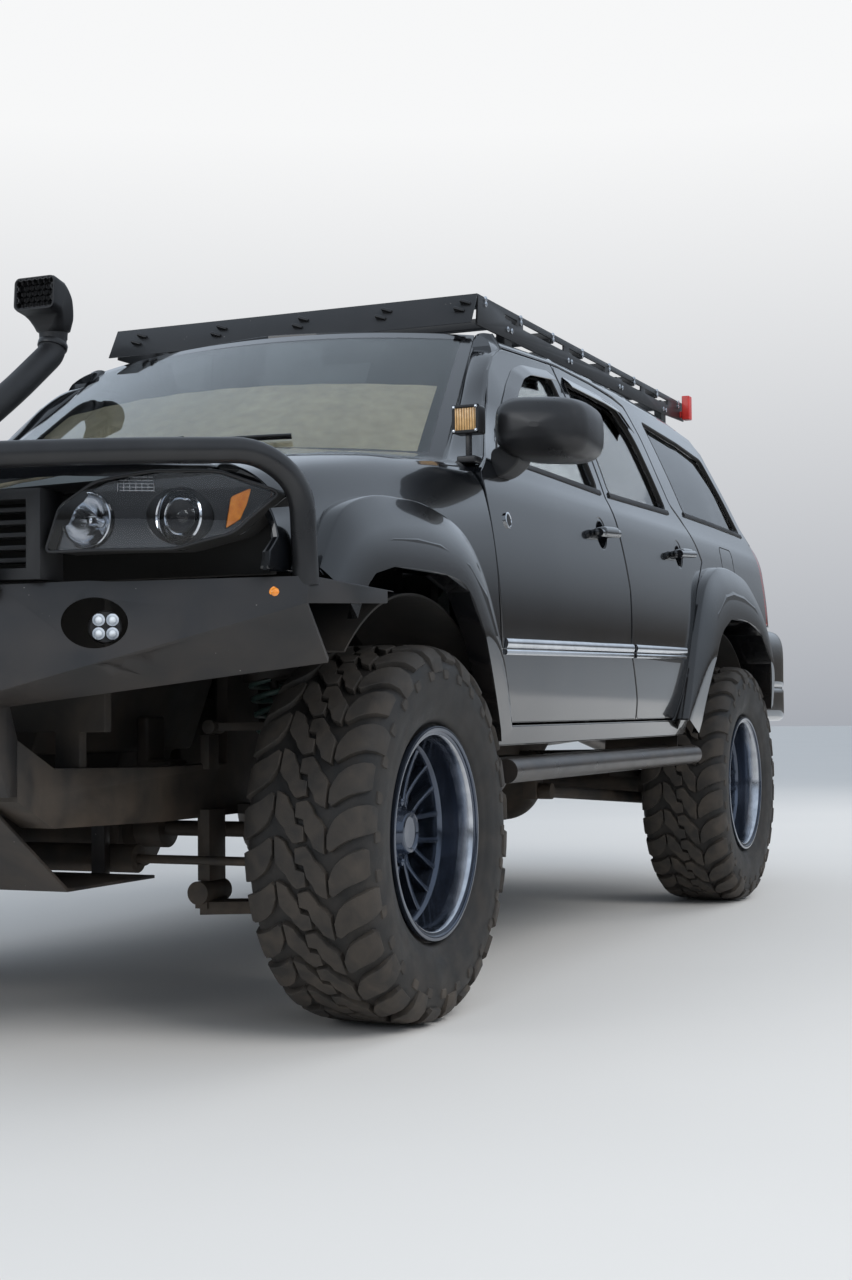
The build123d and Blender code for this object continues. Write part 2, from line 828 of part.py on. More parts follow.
def ring_liner(station, radius, x_from, x_to, start, end):
    """Part of a thin drum over a wheel, between two angles from the rear."""
    drum = rod((x_from, station, tyre_radius), (x_to, station, tyre_radius), radius, radius - liner_sheet)
    points = [(station, tyre_radius)]
    for index in range(7):
        angle = math.radians(start + (end - start) * index / 6)
        points.append((station + 900 * math.cos(angle), tyre_radius + 900 * math.sin(angle)))
    return drum & across(points, x_from - 1, x_to + 1)


rear_liner_shift = -80
rear_liner_radius = 545


def arch_liners():
    """Inner liners of the four wheel openings; the rear ones have a side wall."""
    front = ring_liner(0, liner_radius, 604, 764, 15, 132)
    front += ring_liner(0, liner_radius, 760, 876, 44, 132)
    station = rear_axle_station + rear_liner_shift
    rear = ring_liner(station, rear_liner_radius, 601, 850, 14, 166)
    cheek = rod((601, station, tyre_radius), (606, station, tyre_radius), rear_liner_radius - 1)
    cheek = cheek & block((600, 607), (2000, 3400), (700, 1100))
    return front, rear + cheek


def engine_block():
    body = along([(-190, 600), (-250, 760), (-290, 980), (-240, 1060), (240, 1060), (290, 980),
                  (250, 760), (190, 600)], -470, 190)
    body += along([(-150, 540), (-170, 610), (170, 610), (150, 540)], -90, 140)
    mount = block((240, rail_inner), (-140, -60), (530, 580))
    mount += block((240, 270), (-140, -60), (530, 680))
    return body + mount + other_side(mount)


def transmission():
    case = loft([
        section_plane(200) * Pos(0, 640) * Rectangle(300, 200),
        section_plane(620) * Pos(0, 620) * Rectangle(220, 160),
        section_plane(1230) * Pos(0, 560) * Rectangle(190, 140),
    ], ruled=True)
    transfer = block((-260, 80), (1000, 1200), (440, 560))
    rear_shaft = rod((0, 1225, 556), (0, 2556, 430), 32)
    front_shaft = rod((-200, 1010, 480), (-120, 108, 420), 24)
    mount = block((-60, 60), (1150, 1240), (470, 500))
    return case + transfer + rear_shaft + front_shaft + mount


def front_drive():
    """Front differential with half shafts out to the knuckles."""
    case = rod((-150, 0, tyre_radius), (170, 0, tyre_radius), 92)
    nose = rod((-120, 0, tyre_radius), (-120, 104, tyre_radius), 60)
    left = rod((160, 0, tyre_radius), (620, 0, tyre_radius), 18)
    boot = rod((170, 0, tyre_radius), (240, 0, tyre_radius), 46)
    outer = rod((540, 0, tyre_radius), (592, 0, tyre_radius), 40)
    side = left + boot + outer
    right = other_side(side)
    hanger = block((-150, 150), (-108, -40), (480, 500))
    return case + nose + side + right + hanger


spring_station = wheelbase
spring_x = 486
spring_foot = 462
spring_top = 654


def rear_axle():
    """Live rear axle with its housing, links, spring perches and brake backplates."""
    tube = rod((-690, wheelbase, tyre_radius), (690, wheelbase, tyre_radius), 42)
    pot = Pos(0, wheelbase, tyre_radius) * Sphere(145)
    pot = pot & block((-120, 120), (wheelbase - 150, wheelbase + 150), (270, 570))
    nose = rod((0, wheelbase - 230, 428), (0, wheelbase - 80, tyre_radius), 58)
    axle = tube + pot + nose
    side = rod((560, wheelbase, 360), (470, 1960, 420), 20)
    side += rod((448, 1960, 420), (492, 1960, 420), 26)
    side += block((540, 580), (wheelbase - 40, wheelbase + 40), (345, 420))
    side += rod((250, wheelbase, 450), (278, 2200, 540), 17)
    side += rod((265, 2200, 540), (300, 2200, 540), 24)
    side += block((230, 270), (wheelbase - 30, wheelbase + 30), (420, 470))
    side += rod((660, wheelbase, tyre_radius), (700, wheelbase, tyre_radius), 120)
    side += rod((680, wheelbase, tyre_radius), (tyre_centre - 10, wheelbase, tyre_radius), 28)
    side += rod((spring_x, wheelbase, 440), (spring_x, wheelbase, spring_foot), 66)
    side += block((540, 585), (wheelbase + 20, wheelbase + 95), (380, 402))
    return axle + side + other_side(side)


def rear_springs():
    """Coil spring and damper of one side, between the axle and the frame."""
    plane = Plane(origin=(spring_x, wheelbase, spring_foot), z_dir=(0, 0, 1), x_dir=(1, 0, 0))
    height = spring_top - spring_foot
    spring = coil(64, 50, 8, 0, height, 6, plane)
    damper = rod((562, wheelbase + 70, 411), (478, wheelbase + 120, 692), 20)
    return spring, damper


def fuel_tank():
    """Tank on the right of the propeller shaft, on straps from the floor."""
    tank = block((-318, -62), (1420, 1960), (400, 600))
    for y in (1500, 1850):
        tank += block((-318, -62), (y, y + 30), (590, floor_top - floor_sheet))
    return tank


def exhaust():
    """Pipe along the left of the propeller shaft, over the axle and out behind the wheel."""
    pipe = bent_tube([(250, 420, 500), (200, 1200, 405), (200, 2150, 405), (215, 2480, 575),
                      (215, 3040, 590), (300, 3290, 510), (590, 3420, 500), (600, 3760, 500)], 27, 60)
    pipe += rod((200, 1450, 405), (rail_inner, 1450, 520), 6)
    pipe += rod((590, 3500, 500), (rail_outer, 3500, 600), 6)
    return pipe + rod((200, 1700, 410), (200, 2050, 410), 60)


def skid_plate():
    """Front skid plate: a folded sheet below the nose, hung from the frame."""
    line = [(-815, 512), (-560, 330), (-230, 330), (-230, 323), (-563, 323), (-819, 505)]
    plate = across(line, -345, 345)
    hanger = block((180, 215), (-232, -210), (326, 480))
    return plate + hanger + other_side(hanger)


bumper_plate = 7
# Columns: half width, then (station, height) of the rear edge, top edge, fold and lower edge.
bumper_rows = [
    (0, (-850, 934), (-900, 934), (-985, 716), (-860, 700)),
    (420, (-850, 931), (-900, 931), (-982, 716), (-858, 702)),
    (935, (-575, 946), (-622, 946), (-634, 893), (-545, 782)),
]
wing_rows = [
    (935, (-575, 946), (-622, 946), (-634, 893)),
    (985, (-352, 930), (-386, 930), (-386, 903)),
]


def folded_plate(rows):
    faces = []
    for row in rows:
        x, corners = row[0], list(row[1:])
        centre_y = corners[0][0] + 60
        centre_z = (corners[1][1] + corners[-1][1]) / 2
        inner = []
        for y, z in corners:
            dy, dz = centre_y - y, centre_z - z
            size = math.hypot(dy, dz)
            inner.append((y + dy / size * bumper_plate * 1.4, z + dz / size * bumper_plate * 1.4))
        faces.append(outline_face(Plane.YZ.offset(x), corners + list(reversed(inner))))
    return ruled_solid(faces)


def front_bumper():
    """Folded plate bumper with its lamp holes, wings and frame brackets."""
    half = folded_plate(bumper_rows) + folded_plate(wing_rows)
    hole_axis = Plane(origin=(625, -800, 850), x_dir=(0.80, 0.60, 0), z_dir=(0.6, -0.8, 0))
    hole = extrude(hole_axis * Ellipse(56, 44), amount=160, both=True)
    half -= hole
    bracket = across([(-950, 800), (-880, 800), (-820, 640), (-820, 530), (-850, 530), (-940, 712)],
                     rail_inner, rail_outer)
    half += bracket
    return half + other_side(half)


hoop_radius = 25


def bumper_hoops():
    """One wide tube hoop over the lamps and two sloping centre posts."""
    points = [
        (920, -606, 930), (918, -620, 1120), (866, -690, 1182), (700, -850, 1172), (480, -1000, 1160),
        (-480, -1000, 1160), (-700, -850, 1172), (-866, -690, 1182), (-918, -620, 1120), (-920, -606, 930),
    ]
    hoop = bent_tube(points, hoop_radius, 45)
    for sign in (-1, 1):
        hoop += rod((sign * 410, -905, 915), (sign * 350, -1000, 1160), 22)
    return hoop


def auxiliary_lamps():
    """Round-cornered driving lamps in the bumper and cube lamps at the windscreen pillars."""
    pod_plane = Plane(origin=(604, -815, 850), x_dir=(0.80, 0.60, 0), z_dir=(0.6, -0.8, 0))
    pod = extrude(pod_plane * RectangleRounded(62, 62, 10), amount=40)
    cube = block((808, 878), (392, 440), (1360, 1430)) - block((815, 871), (380, 400), (1367, 1423))
    stalk = rod((843, 412, 1290), (843, 412, 1364), 6)
    return pod, cube + stalk


snorkel_mouth = (148, 104)
snorkel_wall = 6


def snorkel():
    """Raised air intake on the right side, up the windscreen pillar to a forward-facing head."""
    body = bent_tube([(-868, 130, 1190), (-846, 300, 1270), (-774, 800, 1660), (-774, 985, 1800),
                      (-774, 990, 1850)], 42, 60)
    width, height = snorkel_mouth
    # Columns: station, height, turn forward in degrees, width, depth.
    sections = [(990, 1846, 0, 84, 84), (990, 1888, 14, 104, 96), (972, 1932, 42, 130, height),
                (938, 1958, 74, width, height), (896, 1966, 86, width, height)]
    faces = []
    for station, z, turn, across_size, deep in sections:
        angle = math.radians(turn)
        plane = Plane(origin=(-774, station, z), x_dir=(1, 0, 0),
                      z_dir=(0, -math.sin(angle), math.cos(angle)))
        faces.append(plane * RectangleRounded(across_size, deep, 20))
    head = loft(faces, ruled=True)
    mouth = faces[-1].center()
    plane = Plane(origin=mouth, x_dir=(1, 0, 0), z_dir=(0, -1, 0.07))
    inner = plane * RectangleRounded(width - 2 * snorkel_wall, height - 2 * snorkel_wall, 14)
    head -= extrude(inner, amount=26, both=True)
    return body + head


rack_feet = (1330, 1870, 2410, 2950)
fairing_brackets = (110, 230, 400, 540)
rack_half = 600
rack_front = 1080
rack_rear = 3220
rack_top = 1868


def roof_rack():
    """Flat roof rack: side plates, crossbars, a front fairing and feet on the roof."""
    side = across([(rack_front, 1778), (rack_front + 10, rack_top), (rack_rear - 20, rack_top),
                   (rack_rear, 1800), (rack_rear - 300, 1790)], rack_half - 6, rack_half)
    side -= across([(1300, 1832), (1300, 1850), (3000, 1850), (3000, 1832)], rack_half - 10, rack_half + 4)
    for index in range(4):
        y = 1400 + index * 420
        side += across([(y, 1830), (y, 1852), (y + 50, 1852), (y + 50, 1830)], rack_half - 6, rack_half)
    rack = side + other_side(side)
    bar_count = 8
    for index in range(bar_count):
        y = rack_front + 60 + (rack_rear - rack_front - 140) * index / (bar_count - 1)
        rack += block((-rack_half + 4, rack_half - 4), (y - 20, y + 20), (rack_top - 28, rack_top + 2))
    fairing = across([(1030, 1776), (1082, rack_top), (1086, rack_top), (1036, 1776)], -rack_half, rack_half)
    rack += fairing
    for y in rack_feet:
        foot = block((rack_half - 30, rack_half - 3), (y - 30, y + 30), (1735, 1840))
        rack += foot + other_side(foot)
    for x in fairing_brackets:
        bracket = across([(1060, 1792), (1092, 1858), (1180, 1858), (1180, 1852), (1098, 1852), (1070, 1792)],
                         x - 17, x + 17)
        rack += bracket + other_side(bracket)
    return rack


def rock_sliders():
    tube = rod((905, 480, 537), (905, 2180, 535), 30)
    tube += rod((830, 520, 545), (830, 2100, 545), 22)
    for y in (620, 1250, 1900):
        tube += rod((rail_outer - 10, y, 530), (905, y, 537), 24)
    for y in (560, 900, 1300, 1700, 2100):
        tube += rod((830, y, 545), (905, y, 537), 18)
    return tube


rear_bumper_plan = [
    (908, 3214), (902, 3550), (858, 3720), (720, 3830), (400, 3882), (0, 3900),
]


def rear_bumper():
    outer = rear_bumper_plan + [(-x, y) for x, y in reversed(rear_bumper_plan[:-1])]
    inner = [(x * 0.955, y - 44) for x, y in rear_bumper_plan]
    inner[0] = (inner[0][0], 3214)
    inner = inner + [(-x, y) for x, y in reversed(inner[:-1])]
    body = upward(outer + list(reversed(inner)), 630, 880)
    cap = upward(outer + list(reversed(inner)), 880, 990)
    cap -= block((-690, 690), (3000, 4000), (870, 1000))
    deck = upward([(690, 3790), (690, 3822), (400, 3860), (0, 3878), (-400, 3860), (-690, 3822), (-690, 3790)],
                  862, 880)
    bars = block((rail_inner, rail_outer), (3700, 3860), (632, 676))
    return body + cap + deck + bars + other_side(bars)


def seat(centre_x, width, station):
    """A seat cushion and backrest as one plain soft block."""
    half = width / 2
    cushion = across([(station, 800), (station, 950), (station + 480, 930), (station + 480, 790)],
                     centre_x - half, centre_x + half)
    back = across([(station + 440, 900), (station + 560, 1420), (station + 650, 1400), (station + 570, 860)],
                  centre_x - half, centre_x + half)
    head = across([(station + 560, 1440), (station + 590, 1580), (station + 650, 1570), (station + 640, 1420)],
                  centre_x - 120, centre_x + 120)
    return cushion + back + head + block((centre_x - half + 40, centre_x + half - 40),
                                         (station + 30, station + 450), (641, 800))


def rear_seat():
    """The rear bench, on the raised floor."""
    half = 560
    cushion = across([(1850, 900), (1850, 1010), (2330, 990), (2330, 869), (2130, 869)], -half, half)
    back = across([(2290, 930), (2400, 1440), (2480, 1420), (2420, 869), (2300, 869)], -half, half)
    return cushion + back


def dashboard():
    return across([(370, 1020), (370, 1225), (480, 1258), (500, 1284), (640, 1290), (790, 1240),
                   (780, 1090), (640, 1020)], -684, 684)


wheel_plane = Plane(origin=(380, 930, 1130), z_dir=(0, 0.90, 0.44), x_dir=(1, 0, 0))


def steering_wheel():
    ring = wheel_plane * Torus(178, 15)
    hub = wheel_plane * Cylinder(58, 40)
    spokes = wheel_plane * (Box(356, 34, 16) + Pos(0, -90, 0) * Box(34, 178, 16))
    return ring + hub + spokes


def steering_column():
    return rod((380, 905, 1117), (380, 780, 1056), 30)


def steering_link():
    """Rack bar with its tie rods, which slides from side to side."""
    z = link_height
    bar = rod((-640, -steer_arm, z), (640, -steer_arm, z), 10)
    for sign in (-1, 1):
        bar += rod((sign * 650, -steer_arm, z - 14), (sign * 650, -steer_arm, z + 16), 15)
    return bar


def steering_rack():
    z = link_height
    housing = rod((-270, -steer_arm, z), (270, -steer_arm, z), 32, 11)
    lug = block((160, 200), (-190, -150), (z + 26, 450))
    return housing + lug + other_side(lug)


def scuttle():
    """Black panel between the hood and the windscreen."""
    plan = [(734, 384), (500, 314), (0, 262), (-500, 314), (-734, 384), (-726, 470), (-500, 400),
            (0, 330), (500, 400), (726, 470)]
    return upward(plan, pillar_foot, 1290)


headlamp_front = [(505, -868), (612, -842), (745, -764), (840, -692), (892, -632)]
headlamp_outline = [
    (508, 990), (536, 1075), (604, 1120), (700, 1140), (800, 1142), (886, 1106), (822, 1026),
    (730, 994),
]


lamp_gap = 5
lamp_back = -600


def headlamp(grow=0):
    """One headlamp; grown, it is the room that its neighbours leave for it."""
    plan = [(x, y - grow) for x, y in headlamp_front]
    plan[0] = (plan[0][0] - grow, plan[0][1])
    plan[-1] = (plan[-1][0] + grow, plan[-1][1] + grow)
    plan += [(846 + grow, -632 + grow), (846 + grow, lamp_back), (505 - grow, lamp_back)]
    plane = Plane(origin=(0, -1000, 0), x_dir=(1, 0, 0), z_dir=(0, -1, 0))
    face = outline_face(plane, headlamp_outline)
    if grow:
        face = offset(face, amount=grow, kind=Kind.INTERSECTION)
    return upward(plan, 900, 1250) & extrude(face, amount=500, dir=(0, 1, 0))


lens_sheet = 5
lamp_rim = 7
lamp_depth = 74
lamp_tip = 828
# Columns: across, height, radius, depth and radius of the bowl's floor, radius of the lens inside it.
lamp_bowls = [(572, 1052, 52, 58, 20, 0), (724, 1058, 60, 46, 44, 36)]


def face_station(x):
    """Station of the lamp's face at a distance from the centre line."""
    for start, end in zip(headlamp_front[:-1], headlamp_front[1:]):
        if start[0] <= x <= end[0]:
            share = (x - start[0]) / (end[0] - start[0])
            return start[1] + share * (end[1] - start[1])
    return headlamp_front[-1][1]


def lamp_slice(front, back, smaller):
    """The part of the lamp between two depths behind its face."""
    near = [(x, y + front) for x, y in headlamp_front]
    far = [(x, y + back) for x, y in reversed(headlamp_front)]
    plane = Plane(origin=(0, -1000, 0), x_dir=(1, 0, 0), z_dir=(0, -1, 0))
    face = outline_face(plane, headlamp_outline)
    if smaller:
        face = offset(face, amount=-smaller, kind=Kind.INTERSECTION)
    return upward(near + far, 900, 1250) & extrude(face, amount=500, dir=(0, 1, 0))


def lamp_lens():
    """The clear cover of one headlamp."""
    return headlamp() & lamp_slice(0, lens_sheet, 0)


def lamp_housing():
    """The lamp's dark housing with a bowl for each beam, behind the cover."""
    whole = headlamp() - lamp_slice(-20, lens_sheet, 0)
    room = lamp_slice(lens_sheet - 1, lamp_depth, lamp_rim)
    room -= block((lamp_tip, 1000), (-900, -500), (900, 1200))
    body = whole - room
    for x, z, radius, depth, floor_radius, lens_radius in lamp_bowls:
        back = face_station(x) + lamp_depth
        collar = rod((x, back - depth + 14, z), (x, back + 4, z), radius + 5)
        plane = Plane(origin=(x, back - depth + 13, z), x_dir=(1, 0, 0), z_dir=(0, -1, 0))
        bowl = loft([plane * Circle(radius), plane.offset(-depth + 18) * Circle(floor_radius)], ruled=True)
        body += (collar & whole) - bowl
        if lens_radius:
            lens = Pos(x, back - 8, z) * Sphere(lens_radius)
            body += lens & whole
    return body


def grille():
    """Grille frame with horizontal bars between the lamps."""
    frame = upward([(500, -876), (0, -930), (-500, -876), (-500, -800), (0, -850), (500, -800)], 940, 1112)
    frame -= upward([(470, -1000), (470, -700), (-470, -700), (-470, -1000)], 962, 1092)
    for index in range(5):
        z = 974 + index * 24
        frame += upward([(476, -864), (0, -916), (-476, -864), (-476, -830), (0, -880), (476, -830)],
                        z, z + 9)
    return frame


def front_panel():
    """Radiator support behind the grille and the lamps, on legs from the frame."""
    panel = block((-840, 840), (lamp_back, lamp_back + 25), (955, 1088))
    panel += block((-460, 460), (lamp_back, lamp_back + 25), (650, 955))
    for sign in (-1, 1):
        x_range = (340, 400) if sign > 0 else (-400, -340)
        panel += block(x_range, (lamp_back, lamp_back + 25), (520, 660))
    return panel


# Columns: station, share of the full width, share of the full height.
mirror_rows = [
    (432, 0.50, 0.42), (446, 0.80, 0.72), (480, 0.96, 0.92), (540, 1.0, 1.0), (600, 0.97, 0.96),
]
mirror_centre = (1006, 1376)
mirror_width = 250
mirror_height = 158
mirror_rim = 9


def mirror_section(station, width_share, height_share, smaller=0):
    width = mirror_width * width_share - smaller
    height = mirror_height * height_share - smaller
    plane = Plane(origin=(mirror_centre[0], station, mirror_centre[1]), x_dir=(1, 0, 0), z_dir=(0, -1, 0))
    return plane * RectangleRounded(width, height, height * 0.38)


def door_mirror():
    """Mirror on an arm from the door's corner: a domed shell with the glass set into its rear."""
    housing = ruled_solid([mirror_section(*row) for row in mirror_rows])
    last = mirror_rows[-1]
    room = extrude(mirror_section(*last, smaller=2 * mirror_rim), amount=14, both=True)
    housing -= room
    arm = along([(856, 1262), (858, 1330), (900, 1345), (940, 1330), (934, 1296), (880, 1270)], 505, 588)
    return housing + arm


def write(name, shape):
    """Store one node, moved so that the origin is midway along the vehicle."""
    placed = Pos(0, -mid_station, 0) * shape
    export_step(placed, os.path.join("parts", name + ".step"))


def pair(left):
    """A left piece with its mirror image, in one node."""
    return Compound(children=[left, other_side(left)])


def place_wheel(shape, side, station):
    shape = shape if side > 0 else other_side(shape)
    return Pos(side * tyre_centre, station, tyre_radius) * shape


def main():
    os.makedirs("parts", exist_ok=True)
    wall = side_wall()
    left_side = body_side(wall)
    write("body_side_left", left_side)
    write("body_side_right", other_side(left_side))
    pane_sheet = side_sheet(belt_row, 8, glass_inset, glass_thickness)
    skin_sheet = side_sheet(0, 10, 0, door_skin)
    doors = {
        "front": door(wall, skin_sheet, front_door_outline, front_window, 1262, front_strip_start),
        "rear": door(wall, skin_sheet, rear_door_outline, rear_window, 2077, rear_strip_start),
    }
    panes = {"front": door_glass(pane_sheet, front_window), "rear": door_glass(pane_sheet, rear_window)}
    for end in ("front", "rear"):
        write("door_" + end + "_left", doors[end])
        write("door_" + end + "_right", other_side(doors[end]))
        write("door_glass_" + end + "_left", panes[end])
        write("door_glass_" + end + "_right", other_side(panes[end]))
    quarter = door_glass(pane_sheet, quarter_window)
    roof = roof_panel() - left_side - other_side(left_side)
    screen = windscreen() - roof - left_side - other_side(left_side)
    write("fixed_glass", Compound(children=[screen, quarter, other_side(quarter)]))
    mirror_left = door_mirror() - doors["front"]
    write("mirror_left", mirror_left)
    write("mirror_right", other_side(mirror_left))
    left_wing = front_wing()
    write("front_wings", pair(left_wing))
    write("hood", hood())
    write("roof_panel", roof)
    write("tailgate", tailgate())
    write("tailgate_glass", tailgate_glass())
    tyre_shape = tyre()
    rim_shape = rim()
    for end, station in (("front", 0), ("rear", rear_axle_station)):
        for side_name, sign in (("left", 1), ("right", -1)):
            write("tyre_" + end + "_" + side_name, place_wheel(tyre_shape, sign, station))
            write("rim_" + end + "_" + side_name, place_wheel(rim_shape, sign, station))
    upright = knuckle()
    write("knuckle_left", upright)
    write("knuckle_right", other_side(upright))
    lower, upper = front_arms()
    write("front_arms", Compound(children=[lower, other_side(lower), upper, other_side(upper)]))
    write("front_coilovers", pair(coilover()))
    frame = ladder_frame()
    write("ladder_frame", frame)
    write("floor_pan", floor_pan())
    front_liner, rear_liner = arch_liners()
    front_liner -= left_side
    rear_liner -= left_side
    write("arch_liners", Compound(children=[front_liner, other_side(front_liner),
                                            rear_liner, other_side(rear_liner)]))
    write("engine_block", engine_block())
    write("transmission", transmission())
    write("front_drive", front_drive())
    write("rear_axle", rear_axle())
    spring, damper = rear_springs()
    write("rear_springs", Compound(children=[spring, other_side(spring), damper, other_side(damper)]))
    write("fuel_tank", fuel_tank())
    write("exhaust", exhaust() - frame)
    write("skid_plate", skid_plate())
    bumper = front_bumper()
    write("front_bumper", bumper)
    write("bumper_hoops", bumper_hoops() - bumper)
    pod, cube = auxiliary_lamps()
    pod -= bumper
    write("auxiliary_lamps", Compound(children=[pod, other_side(pod), cube - left_wing]))
    write("snorkel", snorkel() - other_side(left_wing) - other_side(left_side))
    write("roof_rack", roof_rack() - roof)
    write("rock_sliders", pair(rock_sliders() - frame))
    write("rear_bumper", rear_bumper())
    write("tail_lamps", pair(tail_lamp(wall)))
    write("front_seats", pair(seat(360, 500, 1180)))
    write("rear_seat", rear_seat())
    write("dashboard", dashboard() + steering_column())
    write("steering_wheel", steering_wheel())
    write("steering_link", steering_link())
    write("steering_rack", steering_rack())
    write("scuttle", scuttle())
    write("headlamps", pair(lamp_housing()))
    write("lamp_covers", pair(lamp_lens()))
    write("grille", grille())
    write("front_panel", front_panel() - frame)


main()
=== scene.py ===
import json
import math

import bmesh
import bpy
import numpy as np
from mathutils import Matrix, Vector
from mathutils.geometry import delaunay_2d_cdt


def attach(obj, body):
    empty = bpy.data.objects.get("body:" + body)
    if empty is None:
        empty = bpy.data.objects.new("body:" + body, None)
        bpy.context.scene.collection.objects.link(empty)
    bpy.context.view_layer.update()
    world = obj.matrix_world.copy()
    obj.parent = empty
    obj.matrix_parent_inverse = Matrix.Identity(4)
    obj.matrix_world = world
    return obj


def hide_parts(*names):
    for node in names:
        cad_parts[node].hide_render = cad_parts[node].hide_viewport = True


# A lifted off-road 4x4 dressed over its CAD frame. Metres; +X is the vehicle's left, +Y its rear, +Z up.
# A station is counted rearwards from the front axle, as in the model that the frame comes from.

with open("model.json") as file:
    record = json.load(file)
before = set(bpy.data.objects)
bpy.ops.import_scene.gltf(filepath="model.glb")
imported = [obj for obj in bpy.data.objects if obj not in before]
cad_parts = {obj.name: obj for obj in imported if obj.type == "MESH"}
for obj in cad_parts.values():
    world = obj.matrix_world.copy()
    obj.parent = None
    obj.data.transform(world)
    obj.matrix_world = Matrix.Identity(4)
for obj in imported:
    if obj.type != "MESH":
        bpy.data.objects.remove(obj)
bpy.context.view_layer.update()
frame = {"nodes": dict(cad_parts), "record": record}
nodes = frame["nodes"]
nodeBody = {node: body for body, members in frame["record"]["behaviour"]["bodies"].items()
            for node in members}
frontAxleY = -1.4375
rearAxleStation = 2.79
tyreRadius = 0.418
tyreCentre = 0.8
probe = 1e-3   # step over which a surface's slope is taken


# Materials: every one reads Object coordinates

def colourOf(value):
    return (value[0], value[1], value[2], 1.0)


def linkNoise(tree, scale, detail=4.0, distortion=0.0):
    # noise over Object coordinates, 0 to 1
    coords = tree.nodes.new("ShaderNodeTexCoord")
    noise = tree.nodes.new("ShaderNodeTexNoise")
    noise.inputs["Scale"].default_value = scale
    noise.inputs["Detail"].default_value = detail
    noise.inputs["Distortion"].default_value = distortion
    tree.links.new(coords.outputs["Object"], noise.inputs["Vector"])
    return noise.outputs["Fac"]


def mapRange(tree, value, fromLow, fromHigh, toLow, toHigh):
    # a straight line from one range to another, held at its ends
    node = tree.nodes.new("ShaderNodeMapRange")
    for socket, number in zip(("From Min", "From Max", "To Min", "To Max"),
                              (fromLow, fromHigh, toLow, toHigh)):
        node.inputs[socket].default_value = number
    tree.links.new(value, node.inputs["Value"])
    return node.outputs["Result"]


def mathNode(tree, kind, first, second):
    node = tree.nodes.new("ShaderNodeMath")
    node.operation = kind
    for socket, value in zip(node.inputs, (first, second)):
        if isinstance(value, (int, float)):
            socket.default_value = value
        else:
            tree.links.new(value, socket)
    return node.outputs[0]


def mixColours(tree, factor, first, second):
    node = tree.nodes.new("ShaderNodeMix")
    node.data_type = "RGBA"
    tree.links.new(factor, node.inputs["Factor"])
    for socket, value in zip((node.inputs[6], node.inputs[7]), (first, second)):
        if isinstance(value, tuple):
            socket.default_value = value
        else:
            tree.links.new(value, socket)
    return node.outputs[2]


def finishMaterial(name, look):
    # colour wanders between dark and light; dust gathers low down (on the tread lugs it is partly painted
    # sunlight); specks are chips; grain is the fine bump
    material = bpy.data.materials.new(name)
    material.use_nodes = True
    tree = material.node_tree
    shader = tree.nodes["Principled BSDF"]
    wander = linkNoise(tree, look.get("scale", 6.0), 5.0)
    wander = mapRange(tree, wander, 0.3, 0.7, 0.0, 1.0)
    colour = mixColours(tree, wander, colourOf(look["dark"]), colourOf(look["light"]))
    rough = mapRange(tree, wander, 0.0, 1.0, *look["rough"])
    if "dust" in look:
        coords = tree.nodes.new("ShaderNodeTexCoord")
        split = tree.nodes.new("ShaderNodeSeparateXYZ")
        tree.links.new(coords.outputs["Object"], split.inputs["Vector"])
        low = mapRange(tree, split.outputs["Z"], look["dustTop"], look["dustFull"], 0.0, 1.0)
        cloud = mapRange(tree, linkNoise(tree, look.get("dustScale", 9.0), 7.0, 0.4), 0.35, 0.7, 0.15, 1.0)
        factor = mathNode(tree, "MULTIPLY", mathNode(tree, "MULTIPLY", low, cloud), look["dustAmount"])
        colour = mixColours(tree, factor, colour, colourOf(look["dust"]))
        rough = mathNode(tree, "MAXIMUM", rough, mathNode(tree, "MULTIPLY", factor, 0.9))
    if "specks" in look:
        coords = tree.nodes.new("ShaderNodeTexCoord")
        cells = tree.nodes.new("ShaderNodeTexVoronoi")
        cells.inputs["Scale"].default_value = look["speckScale"]
        tree.links.new(coords.outputs["Object"], cells.inputs["Vector"])
        spot = mapRange(tree, cells.outputs["Distance"], 0.05, 0.09, 1.0, 0.0)
        rare = mapRange(tree, linkNoise(tree, look["speckScale"] * 0.35, 2.0), 0.58, 0.62, 0.0, 1.0)
        spot = mathNode(tree, "MULTIPLY", spot, rare)
        colour = mixColours(tree, spot, colour, colourOf(look["specks"]))
    tree.links.new(colour, shader.inputs["Base Color"])
    tree.links.new(rough, shader.inputs["Roughness"])
    shader.inputs["Metallic"].default_value = look.get("metal", 0.0)
    shader.inputs["Specular IOR Level"].default_value = look.get("specular", 0.5)
    shader.inputs["Coat Weight"].default_value = look.get("coat", 0.0)
    shader.inputs["Coat Roughness"].default_value = look.get("coatRough", 0.03)
    if look.get("grain"):
        bump = tree.nodes.new("ShaderNodeBump")
        bump.inputs["Strength"].default_value = look["grain"]
        bump.inputs["Distance"].default_value = look.get("grainDepth", 0.001)
        tree.links.new(linkNoise(tree, look["grainScale"], 3.0), bump.inputs["Height"])
        tree.links.new(bump.outputs["Normal"], shader.inputs["Normal"])
    return material


def glassMaterial(name, tint, smear):
    # clear glass with a tint; smear is the roughness where the dust film is thickest
    material = bpy.data.materials.new(name)
    material.use_nodes = True
    tree = material.node_tree
    shader = tree.nodes["Principled BSDF"]
    shader.inputs["Transmission Weight"].default_value = 1.0
    shader.inputs["IOR"].default_value = 1.45
    film = mapRange(tree, linkNoise(tree, 4.0, 6.0), 0.3, 0.7, 0.0, 1.0)   # a thin uneven film of dust
    edge = tuple(min(1.0, c * 0.86 + 0.02) for c in tint)
    tree.links.new(mixColours(tree, film, colourOf(tint), colourOf(edge)), shader.inputs["Base Color"])
    tree.links.new(mapRange(tree, film, 0.0, 1.0, 0.0, smear), shader.inputs["Roughness"])
    return material


